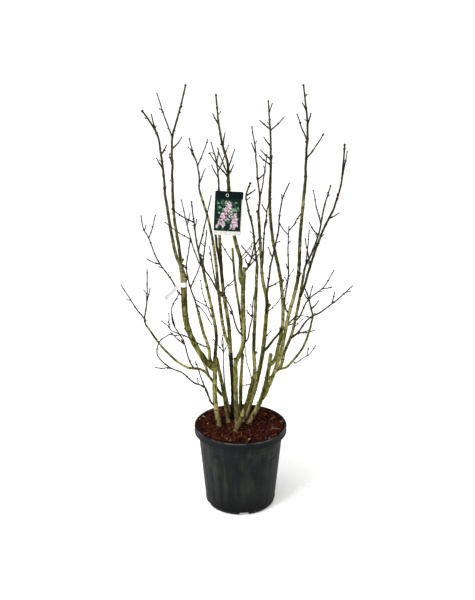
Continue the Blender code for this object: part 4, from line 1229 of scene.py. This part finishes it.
# ---------------------------------------------------------------- pot and mulch
POT_SIDES = 240
WALL_ROWS = 76
FOOT_ROWS = 6
FOOT_RECESS = 0.0016              # the underside is drawn up by this inside its standing ring
MIDDLE_RADIUS = 0.012             # of the small end faces of the turned profile
POT_SHARP = 35                    # degrees between faces from which an edge is sharp
PANELS = 24                       # shallow upright panels in the wall
PANEL_DEPTH = 0.0014
PANEL_FOOT = 0.030                # the grooves between the panels start at this height
PANEL_FOOT_FADE = 0.012           # and deepen over this length above it,
PANEL_TOP_FADE = 0.006            # and end over this length under the band
GROOVE_SHARPNESS = 24             # a power of a cosine
STEP_DEPTH = 0.0009               # how far the wall is in under the band
STEP_SLOPE = 0.0015
STEP_BAND = 0.026                 # the thicker band under the lip's ring
GRIP_ANGLES = [math.radians(-128 + 90 * k) for k in range(4)]
GRIP_HEIGHT = 0.199
GRIP_SIZE = (0.013, 0.006)        # half its width and height
GRIP_DEPTH = 0.0022
# Drawn in from the rim's radius, and up from the ring's foot or down from the top
RING_PROFILE = ((0.0022, 0), (0.0006, 0.0006), (0, 0.0022), (0.0004, 0.006), (0.0010, 0.012))
LIP_PROFILE = ((0.0006, 0.0062), (0, 0.0036), (0.0008, 0.0014), (0.0022, 0.0003), (0.0036, 0),
               (0.0050, 0.0004), (0.0062, 0.0018), (0.0068, 0.006))


def wall_relief(angles, height):
    """How far the wall stands in or out of its plain cone at one height."""
    ring_foot = POT_HEIGHT - RIM_DEPTH
    under_band = ring_foot - STEP_BAND - height
    fade = min(1, max(0, (height - PANEL_FOOT) / PANEL_FOOT_FADE))
    fade *= min(1, max(0, under_band / PANEL_TOP_FADE))
    groove = np.abs(np.cos(angles * PANELS / 2)) ** GROOVE_SHARPNESS
    relief = -PANEL_DEPTH * groove * fade
    relief -= STEP_DEPTH * min(1, max(0, under_band / STEP_SLOPE + 0.5))
    for angle in GRIP_ANGLES:
        away = np.angle(np.exp(1j * (angles - angle))) * WALL_TOP_RADIUS / GRIP_SIZE[0]
        up = (height - GRIP_HEIGHT) / GRIP_SIZE[1]
        relief -= GRIP_DEPTH * np.exp(-(away ** 2 + up ** 2) ** 2)
    return relief


def make_pot():
    """The shell as one turned profile, with relief on the wall and cut drain holes."""
    ring_foot = POT_HEIGHT - RIM_DEPTH
    angles = turns_round(POT_SIDES)
    rows = [(MIDDLE_RADIUS, FOOT_RECESS), (FOOT_RADIUS - 0.012, FOOT_RECESS), (FOOT_RADIUS - 0.010, 0),
            (FOOT_RADIUS, 0)]
    for k in range(1, FOOT_ROWS + 1):
        turn = math.pi / 2 * k / FOOT_ROWS
        rows.append((FOOT_RADIUS + (WALL_FOOT_RADIUS - FOOT_RADIUS) * math.sin(turn),
                     FOOT_ROUNDING * (1 - math.cos(turn))))
    first_wall = len(rows)
    for k in range(1, WALL_ROWS + 1):
        share = k / WALL_ROWS
        rows.append((WALL_FOOT_RADIUS + (WALL_TOP_RADIUS - WALL_FOOT_RADIUS) * share,
                     FOOT_ROUNDING + (ring_foot - FOOT_ROUNDING) * share))
    last_wall = len(rows)
    rows += [(RIM_RADIUS - inward, ring_foot + up) for inward, up in RING_PROFILE]
    rows += [(RIM_RADIUS - inward, POT_HEIGHT - down) for inward, down in LIP_PROFILE]
    rows += [(RIM_RADIUS - 3 * WALL, POT_HEIGHT - LEDGE_DEPTH), (WALL_TOP_RADIUS - WALL, ring_foot),
             (WALL_FOOT_RADIUS - WALL, FOOT_ROUNDING),
             (FOOT_RADIUS - WALL, WALL), (MIDDLE_RADIUS, WALL + FOOT_RECESS)]
    points = []
    for number, (radius, height) in enumerate(rows):
        reach = np.full(len(angles), radius)
        if first_wall <= number < last_wall:
            reach = reach + wall_relief(angles, height)
        heights = np.full(len(angles), height)
        points.append(np.stack([reach * np.cos(angles), reach * np.sin(angles), heights], axis=1))
    shape = Shape()
    shape.add(np.concatenate(points), ring_faces(len(rows), len(angles)), 0)
    pot = shape.build("pot_shell", [plastic_look()], POT_SHARP)
    cut_drain_notches(pot)
    pot.data.shade_smooth()
    pot.data.set_sharp_from_angle(angle=math.radians(POT_SHARP))
    finish_piece(pot, ["pot"])


def cut_drain_notches(pot):
    """Five arched drain holes low in the wall."""
    cutters = Shape()
    arch = 12
    half = DRAIN_WIDTH / 2
    outline = [(-half, -DRAIN_HEIGHT), (half, -DRAIN_HEIGHT), (half, DRAIN_HEIGHT * 0.5)]
    for k in range(1, arch):
        turn = math.pi * k / arch
        outline.append((half * math.cos(turn), DRAIN_HEIGHT * (0.5 + 0.5 * math.sin(turn))))
    outline.append((-half, DRAIN_HEIGHT * 0.5))
    reaches = (WALL_FOOT_RADIUS - DRAIN_DEPTH / 2, WALL_FOOT_RADIUS + DRAIN_DEPTH / 2)
    for number in range(DRAIN_NOTCHES):
        turn = Matrix.Rotation(FIRST_DRAIN + 2 * math.pi * number / DRAIN_NOTCHES, 3, "Z")
        points = [turn @ Vector((reach, across, height)) for reach in reaches for across, height in outline]
        cutters.add(points, ring_faces(2, len(outline)), 0)
    tool_mesh = bpy.data.meshes.new("drain_cutters")
    tool_mesh.from_pydata(np.concatenate(cutters.points).tolist(), [], cutters.faces)
    tool = bpy.data.objects.new("drain_cutters", tool_mesh)
    bpy.context.scene.collection.objects.link(tool)
    cut = pot.modifiers.new("drains", "BOOLEAN")
    cut.operation = "DIFFERENCE"
    cut.solver = "EXACT"
    cut.object = tool
    seen = pot.evaluated_get(bpy.context.evaluated_depsgraph_get())
    result = bpy.data.meshes.new_from_object(seen)
    pot.modifiers.clear()
    pot.data = result
    bpy.data.objects.remove(tool)


MULCH_SIDES = 120
LUMP_HEIGHT = 0.0042
LUMPS = 45                        # a metre
GRAIN_HEIGHT = 0.0018
GRAINS = 160                      # a metre
CHIP_LIFT = 13                    # degrees off the flat, the standard deviation
CHIP_SAG = 0.09                   # the most that it is bent, of its length
CHIP_RISE = (0.0004, 0.0048)      # how high its middle lies on the heap
CHIP_THICK = (0.12, 0.26)         # of its width
CHIPS = 2300
CHIP_REACH = 0.1420               # chips stay inside this radius
HEAP_TOP = MULCH_TOP - 0.0020     # the surface under the loose chips
HEAP_EDGE_RISE = 0.0012           # it lies higher against the lip
CHIP_LENGTHS = (0.007, 0.034)
CHIP_WIDTHS = (0.0016, 0.0065)
CHIP_ROWS = 5
HEAP_ROWS = 34
# Each kind of shred: name, darker and lighter tone, how many in a hundred
CHIP_LOOKS = (
    ("bark_deep", (18, 7, 5), (44, 20, 14), 24),
    ("bark_red", (42, 14, 9), (76, 34, 22), 30),
    ("bark_brown", (50, 24, 16), (88, 46, 30), 26),
    ("bark_purple", (44, 18, 20), (72, 36, 38), 12),
    ("bark_tan", (96, 50, 26), (140, 84, 48), 6),
    ("bark_pale", (120, 92, 68), (168, 140, 112), 2),
)
CHIP_SHARES = [share for _, _, _, share in CHIP_LOOKS]


def mulch_height(across, back):
    """The lumpy surface under the loose chips."""
    radius = math.hypot(across, back)
    edge = max(0, (radius - MULCH_FLAT_RADIUS) / (RIM_RADIUS - MULCH_FLAT_RADIUS))
    lumps = LUMP_HEIGHT * noise.noise(Vector((across * LUMPS, back * LUMPS, 3.1)))
    grain = GRAIN_HEIGHT * noise.noise(Vector((across * GRAINS, back * GRAINS, 7.7)))
    return HEAP_TOP + HEAP_EDGE_RISE * min(1, edge) + lumps + grain


def make_mulch():
    """The whole filling under a lumpy top, with loose shreds of bark on it."""
    rule = random.Random(f"{SEED} mulch")
    shape = Shape()
    angles = turns_round(MULCH_SIDES)
    room = MULCH_ROOM
    below = WALL_FOOT_RADIUS - DRAIN_DEPTH / 2 - 2 * room
    wall_top = POT_HEIGHT - RIM_DEPTH
    edge = RIM_RADIUS - 3 * WALL - room
    rows = [(0.01, WALL + GAP), (below, WALL + GAP), (below, DRAIN_HEIGHT + room),
            (WALL_FOOT_RADIUS - WALL - room, FOOT_ROUNDING + room),
            (WALL_TOP_RADIUS - WALL - room, wall_top), (edge, POT_HEIGHT - LEDGE_DEPTH + room)]
    points = [[(r * math.cos(a), r * math.sin(a), z) for a in angles] for r, z in rows]
    for k in range(HEAP_ROWS):
        radius = edge * (1 - k / HEAP_ROWS)
        points.append([(radius * math.cos(a), radius * math.sin(a),
                        mulch_height(radius * math.cos(a), radius * math.sin(a))) for a in angles])
    flat = np.array(points).reshape(-1, 3)
    shape.add(flat, ring_faces(len(points), MULCH_SIDES), 0)
    for _ in range(CHIPS):
        add_chip(shape, rule)
    looks = [chip_look(name, screen(*deep), screen(*light)) for name, deep, light, _ in CHIP_LOOKS]
    mulch = shape.build("bark_mulch", looks, 40)
    finish_piece(mulch, ["mulch"])


def add_chip(shape, rule):
    """One shred of bark lying on the heap, flat, bent and with ragged ends."""
    radius = CHIP_REACH * math.sqrt(rule.random())
    angle = rule.uniform(0, 2 * math.pi)
    across, back = radius * math.cos(angle), radius * math.sin(angle)
    length = CHIP_LENGTHS[0] + (CHIP_LENGTHS[1] - CHIP_LENGTHS[0]) * rule.random() ** 2.2
    width = rule.uniform(*CHIP_WIDTHS) * (0.6 + 0.4 * rule.random())
    heading = rule.uniform(0, math.pi)
    lift = math.radians(rule.gauss(0, CHIP_LIFT))
    aim = Vector((math.cos(heading) * math.cos(lift), math.sin(heading) * math.cos(lift), math.sin(lift)))
    side = aim.cross(Vector((rule.gauss(0, 0.5), rule.gauss(0, 0.5), 1))).normalized()
    middle = Vector((across, back, mulch_height(across, back) + rule.uniform(*CHIP_RISE)))
    sag = rule.uniform(-CHIP_SAG, CHIP_SAG) * length
    centres = []
    for k in range(CHIP_ROWS):
        t = k / (CHIP_ROWS - 1) - 0.5
        place = middle + aim * (length * t) + side * (sag * (1 - 4 * t * t))
        out = math.hypot(place.x, place.y)
        if out > CHIP_REACH:
            place.x *= CHIP_REACH / out
            place.y *= CHIP_REACH / out
        place.z = max(place.z, mulch_height(place.x, place.y) + 0.0003)
        centres.append(place)
    if (centres[-1] - centres[0]).length < length * 0.5:
        return
    half, thin = width / 2, width * rule.uniform(*CHIP_THICK)
    reach = []
    for k in range(CHIP_ROWS):
        ragged = rule.uniform(0.35, 0.75) if k in (0, CHIP_ROWS - 1) else rule.uniform(0.8, 1.1)
        near, far = half * ragged * rule.uniform(0.8, 1.2), half * ragged
        reach.append([near, thin * ragged, far, thin * ragged * 0.7])
    slot_number = rule.choices(range(len(CHIP_LOOKS)), CHIP_SHARES)[0]
    shape.add(ring_points(centres, reach, 4, turn=side), ring_faces(CHIP_ROWS, 4), slot_number)


# ----------------------------------------------------------------------- labels
LABEL_CORNER = 0.004
LABEL_BAND = 0.024                # dark band at the top
LABEL_FOOT = 0.013                # white strip at the bottom
LABEL_EDGE = 0.004                # white border at the right
LABEL_BOW = 0.0022
LABEL_GLOSS = 0.06
LABEL_SKIN = 0.00008              # thickness of a printed layer
LABEL_SIDE_ROOM = 0.006           # the design keeps this far from the picture's edges
LEAVES = 190
LEAF_LENGTHS = (0.007, 0.014)
FLORETS = 110                     # in each plume
FLORET_SIZES = (0.0022, 0.0031)
PETAL_POINTS = 7
CORD_ROWS = 64
KNOT_ROWS = 28
PETAL_WIDTH = 0.34                # of its length
WRAPS = 1.22                      # turns of tape round the leader
WRAP_ROWS = 56
WRAP_ROOM = 0.0010                # from the bark to the middle of the first layer,
WRAP_LIFT = 0.0009                # and how much further out the outer layer is
WRAP_SHIFT = 0.0016               # how far the first layer slips along the leader
TAIL_ROWS = 34
FLAG_RIPPLE = 0.0011              # a second, smaller wave in its tail
# Along a leaf, and how far out its edge is there, as shares of its length
LEAF_PROFILE = ((0, 0.03), (0.12, 0.26), (0.34, 0.36), (0.6, 0.27), (0.84, 0.10), (1.0, 0.0),
                (0.84, -0.10), (0.6, -0.27), (0.34, -0.36), (0.12, -0.26))
# Each plume of blossom: its foot and its tip as shares of the picture, its spread
PLUMES = (((0.18, 0.08), (0.30, 0.56), 0.40), ((0.46, 0.34), (0.56, 0.98), 0.56),
          ((0.80, 0.06), (0.84, 0.56), 0.36))
# Every material of the label: name, tone, roughness, gloss
LABEL_LOOKS = (
    ("label_white", (206, 208, 202), 0.35, 0.2),
    ("label_band", (4, 17, 20), 0.4, LABEL_GLOSS),
    ("label_shade", (16, 34, 26), 0.4, LABEL_GLOSS),
    ("label_leaf", (42, 86, 60), 0.4, LABEL_GLOSS),
    ("label_leaf_light", (118, 150, 122), 0.4, LABEL_GLOSS),
    ("label_blossom", (196, 160, 182), 0.4, LABEL_GLOSS),
    ("label_blossom_pale", (222, 214, 216), 0.4, LABEL_GLOSS),
    ("label_blossom_deep", (140, 92, 122), 0.4, LABEL_GLOSS),
    ("label_cord", (226, 224, 214), 0.6, 0.3),
)
WHITE, BAND, SHADE, LEAF, LIGHT_LEAF, BLOSSOM, PALE_BLOSSOM, DEEP_BLOSSOM, CORD = range(len(LABEL_LOOKS))


def on_label(across, up, proud):
    """A place on the slightly bowed label: across and up from its middle, proud of its middle plane."""
    bow = LABEL_BOW * (2 * across / LABEL_WIDTH) ** 2
    place = Vector((across, -proud + bow, up))
    return Vector(LABEL_PLACE) + Matrix.Rotation(LABEL_TILT, 3, "Y") @ place


def add_panel(shape, left, right, low, high, back, front, corners, material):
    """A thin slab on the label between two depths, with rounded corners where asked."""
    columns, rows = 18, 30
    rings = []
    for row in range(rows + 1):
        up = low + (high - low) * row / rows
        inset = 0.0
        for rounded, edge in zip(corners, (low, high)):
            near = LABEL_CORNER - abs(up - edge)
            if rounded and near > 0:
                inset = LABEL_CORNER - math.sqrt(max(0, LABEL_CORNER ** 2 - near ** 2))
        ring = []
        for depth, order in ((front, range(columns + 1)), (back, range(columns, -1, -1))):
            ring += [on_label(left + inset + (right - left - 2 * inset) * k / columns, up, depth)
                     for k in order]
        rings.extend(ring)
    shape.add(rings, ring_faces(rows + 1, 2 * columns + 2), material)


def add_prism(shape, outline, low, high, material):
    """A low flat shape on the label with slightly drawn-in top edges."""
    middle = np.mean(outline, axis=0)
    foot = [on_label(u, v, low) for u, v in outline]
    top = [on_label(middle[0] + (u - middle[0]) * 0.9, middle[1] + (v - middle[1]) * 0.9, high)
           for u, v in outline]
    shape.add(foot + top, ring_faces(2, len(outline)), material)


def leaf_outline(across, up, size, turn):
    """A broad pointed leaf."""
    outline = []
    for t, w in LEAF_PROFILE:
        outline.append((across + size * (t * math.cos(turn) - w * math.sin(turn)),
                        up + size * (t * math.sin(turn) + w * math.cos(turn))))
    return outline


def make_label(leader):
    """The plate with a dark band, a white strip and a generic design, and its cord."""
    rule = random.Random(f"{SEED} label")
    shape = Shape()
    half_wide, half_high = LABEL_WIDTH / 2, LABEL_HEIGHT / 2
    front = LABEL_THICK / 2
    looks = [plain_look(name, screen(*tone), roughness, gloss)
             for name, tone, roughness, gloss in LABEL_LOOKS]
    add_panel(shape, -half_wide, half_wide, -half_high, half_high, -front, front, (True, True), WHITE)
    band_low = half_high - LABEL_BAND
    add_panel(shape, -half_wide, half_wide, band_low, half_high, 0, front + LABEL_SKIN, (False, True), BAND)
    add_panel(shape, -half_wide, half_wide - LABEL_EDGE, -half_high + LABEL_FOOT, band_low, 0,
              front + LABEL_SKIN, (False, False), SHADE)
    left, right = -half_wide + LABEL_SIDE_ROOM, half_wide - LABEL_EDGE - LABEL_SIDE_ROOM
    low, high = -half_high + LABEL_FOOT + 0.005, band_low - LABEL_SIDE_ROOM
    for number in range(LEAVES):
        across, up = rule.uniform(left, right), rule.uniform(low, high)
        size = rule.uniform(*LEAF_LENGTHS)
        turn = rule.uniform(0, 2 * math.pi)
        outline = leaf_outline(across, up, size, turn)
        if all(left - 0.005 < u < right + 0.005 and low - 0.004 < v < high + 0.005 for u, v in outline):
            tone = rule.choice((LEAF, LEAF, LIGHT_LEAF, SHADE, SHADE))
            add_prism(shape, outline, front, front + LABEL_SKIN * (2 + number / 60), tone)
    add_florets(shape, rule, (left, right, low, high), front)
    add_cord(shape, leader)
    label = shape.build("hanging_label", looks, 30)
    finish_piece(label, ["picture_label"])


def petal_outline(across, up, size, angle):
    """One rounded petal that points out from the middle of its floret."""
    outline = []
    for k in range(PETAL_POINTS):
        t = 2 * math.pi * k / PETAL_POINTS
        far = size * (0.55 + 0.45 * math.cos(t))
        side = size * PETAL_WIDTH * math.sin(t)
        outline.append((across + far * math.cos(angle) - side * math.sin(angle),
                        up + far * math.sin(angle) + side * math.cos(angle)))
    return outline


def add_florets(shape, rule, field, front):
    """Three loose plumes of four-petalled florets."""
    left, right, low, high = field
    for (foot_u, foot_v), (tip_u, tip_v), spread in PLUMES:
        for _ in range(FLORETS):
            t = rule.random()
            wide = spread * (1 - 0.75 * t) * 0.5
            u = left + (right - left) * (foot_u + (tip_u - foot_u) * t + rule.uniform(-wide, wide))
            v = low + (high - low) * (foot_v + (tip_v - foot_v) * t + rule.uniform(-0.04, 0.04))
            if not (left < u < right and low < v < high):
                continue
            turn = rule.uniform(0, math.pi / 2)
            size = rule.uniform(*FLORET_SIZES)
            tone = rule.choice((BLOSSOM, BLOSSOM, PALE_BLOSSOM, PALE_BLOSSOM, DEEP_BLOSSOM))
            top = front + LABEL_SKIN * rule.uniform(4, 7)
            for petal in range(4):
                outline = petal_outline(u, v, size, turn + petal * math.pi / 2)
                add_prism(shape, outline, front, top, tone)


def add_cord(shape, leader):
    """The cord: a loop round the leader that comes forward to a hole in the label."""
    place = leader.at_height(LABEL_LOOP_HEIGHT)
    reach = LABEL_PLACE[1] - (place.y - LABEL_LOOP_RADIUS)
    ring = []
    for k in range(CORD_ROWS):
        t = 2 * math.pi * k / CORD_ROWS
        forward = max(0.0, -math.sin(t))
        ring.append((place.x + LABEL_LOOP_RADIUS * math.cos(t),
                     place.y + LABEL_LOOP_RADIUS * math.sin(t) + reach * forward ** 2,
                     place.z - LABEL_LOOP_DROP * forward ** 2))
    add_closed_cord(shape, ring, LABEL_LOOP_THICK / 2)
    knot = Vector((place.x, LABEL_PLACE[1] - 0.002, place.z - LABEL_LOOP_DROP))
    small = []
    for k in range(KNOT_ROWS):
        t = 2 * math.pi * k / KNOT_ROWS
        turned = (0.0036 * math.cos(t) - 0.004, 0.0008 * math.sin(2 * t), 0.0044 * math.sin(t))
        small.append(knot + Vector(turned))
    add_closed_cord(shape, small, LABEL_LOOP_THICK / 2 * 0.8)


def add_closed_cord(shape, ring, radius, sides=8):
    """A round cord along a closed line."""
    ring = np.array([tuple(p) for p in ring])
    count = len(ring)
    points = []
    for i in range(count):
        way = Vector(ring[(i + 1) % count] - ring[i - 1]).normalized()
        up = (Vector((0, 0, 1)) - way * way.z).normalized()
        side = way.cross(up)
        points += [Vector(ring[i]) + (up * math.cos(a) + side * math.sin(a)) * radius
                   for a in (2 * math.pi * k / sides for k in range(sides))]
    faces = [(i * sides + k, i * sides + (k + 1) % sides,
              (i + 1) % count * sides + (k + 1) % sides, (i + 1) % count * sides + k)
             for i in range(count) for k in range(sides)]
    shape.add(points, faces, CORD)


def tape_row(centre, broad, thin):
    """The corners of the tape at one place: half its width along broad, half its thickness along thin."""
    return [centre + thin * c + broad * b for b, c in ((-1, -1), (1, -1), (1, 1), (-1, 1))]


def make_flag(leader):
    """White tape wrapped round the left leader, with a long free end."""
    place, way, radius = leader.at(FLAG_SHARE)
    out = Vector(FLAG_TURN).normalized()
    root = (out - way * out.dot(way)).normalized()
    thin = out.cross(way).normalized()
    shape = Shape()
    rows = []
    for k in range(WRAP_ROWS + 1):
        t = k / WRAP_ROWS
        turn = 2 * math.pi * WRAPS * (t - 1)
        spoke = root.copy()
        spoke.rotate(Matrix.Rotation(turn, 3, way))
        reach = radius + WRAP_ROOM + WRAP_LIFT * t
        centre = place + spoke * reach + way * WRAP_SHIFT * (1 - t)
        rows += tape_row(centre, way * (FLAG_WIDTH / 2), spoke * (FLAG_THICK / 2))
    for k in range(1, TAIL_ROWS + 1):
        t = k / TAIL_ROWS
        broad = way.lerp(thin.cross(out), min(1, 2 * t)).normalized()
        middle = place + root * (radius + WRAP_ROOM + WRAP_LIFT) + out * FLAG_LENGTH * t
        middle += thin * (FLAG_BEND * math.sin(math.pi * t) + FLAG_RIPPLE * math.sin(3.2 * math.pi * t))
        rows += tape_row(middle, broad * (FLAG_WIDTH / 2.05), thin * (FLAG_THICK / 2))
    shape.add(rows, ring_faces(WRAP_ROWS + 1 + TAIL_ROWS, 4), 0)
    look = plain_look("flag_tape", screen(240, 240, 236), 0.42)
    flag = shape.build("tape_flag", [look], 30)
    finish_piece(flag, ["marker_flag"])


# ----------------------------------------------------------------------- studio
CAMERA_PLACE = (-0.010, -3.0, 1.76)
CAMERA_PITCH = math.radians(19.2)
LENS = 60
SENSOR = 36
FLOOR_REACH = 60
KEY_PLACE = (-2.2, -2.4, 2.9)
KEY_AIM = (0, 0, 0.7)
KEY_SIZE = 1.3
KEY_POWER = 104
TOP_STRENGTH = 2.1
TOP_SPREAD = 60                   # degrees
TOP_TILT = (14, -12, 0)           # degrees
SKY_STRENGTH = 0.28
BACKDROP_HEIGHTS = (0.17, 0.28)   # where the white of the horizon ends, as a slope
FLOOR_GLOW = 0.34                 # keeps the paper floor pale in the soft shadows


def add_light(name, place, aim, size, power):
    """A square soft light aimed at a place."""
    light = bpy.data.lights.new(name, "AREA")
    light.size = size
    light.energy = power
    made = bpy.data.objects.new(name, light)
    made.location = place
    made.rotation_euler = (Vector(aim) - Vector(place)).to_track_quat("-Z", "Y").to_euler()
    bpy.context.scene.collection.objects.link(made)


def add_top_light(strength, spread, tilt):
    """A broad even light from above, which keeps the whole floor pale."""
    light = bpy.data.lights.new("top", "SUN")
    light.energy = strength
    light.angle = math.radians(spread)
    made = bpy.data.objects.new("top", light)
    made.rotation_euler = [math.radians(angle) for angle in tilt]
    bpy.context.scene.collection.objects.link(made)


def studio_world():
    """A dim even sky that turns white near the horizon, like a paper backdrop."""
    world = bpy.data.worlds.new("studio")
    world.use_nodes = True
    tree = world.node_tree
    place = tree.nodes.new("ShaderNodeTexCoord")
    split = tree.nodes.new("ShaderNodeSeparateXYZ")
    ramp = tree.nodes.new("ShaderNodeValToRGB")
    tree.links.new(place.outputs["Generated"], split.inputs["Vector"])
    tree.links.new(split.outputs["Z"], ramp.inputs["Fac"])
    tree.links.new(ramp.outputs["Color"], tree.nodes["Background"].inputs["Color"])
    white, dim = ramp.color_ramp.elements
    white.position, dim.position = BACKDROP_HEIGHTS
    white.color = (1, 1, 1, 1)
    dim.color = (SKY_STRENGTH, SKY_STRENGTH, SKY_STRENGTH, 1)
    return world


def make_studio():
    """The camera, the lights, the sky and the pale floor."""
    scene = bpy.context.scene
    camera_data = bpy.data.cameras.new("camera")
    camera_data.lens = LENS
    camera_data.sensor_width = SENSOR
    camera = bpy.data.objects.new("camera", camera_data)
    camera.location = CAMERA_PLACE
    camera.rotation_euler = (math.pi / 2 - CAMERA_PITCH, 0, 0)
    scene.collection.objects.link(camera)
    scene.camera = camera
    scene.world = studio_world()
    scene.view_settings.view_transform = "Standard"
    mesh = bpy.data.meshes.new("floor")
    corners = [(x * FLOOR_REACH, y * FLOOR_REACH, 0) for x, y in ((-1, -1), (1, -1), (1, 1), (-1, 1))]
    mesh.from_pydata(corners, [], [(0, 1, 2, 3)])
    paper = plain_look("floor_paper", (0.90, 0.90, 0.89, 1), 0.9)
    shader = paper.node_tree.nodes["Principled BSDF"]
    shader.inputs["Emission Color"].default_value = (1, 1, 1, 1)
    shader.inputs["Emission Strength"].default_value = FLOOR_GLOW
    mesh.materials.append(paper)
    floor = bpy.data.objects.new("floor", mesh)
    scene.collection.objects.link(floor)
    add_light("key", KEY_PLACE, KEY_AIM, KEY_SIZE, KEY_POWER)
    add_top_light(TOP_STRENGTH, TOP_SPREAD, TOP_TILT)


make_studio()
limb_lines, twig_lines = shrub_lines()
make_pot()
make_mulch()
make_bark(limb_lines)
make_twigs(limb_lines, twig_lines)
make_label(limb_lines["bough_centre_leader"])
make_flag(limb_lines["bough_left_leader"])
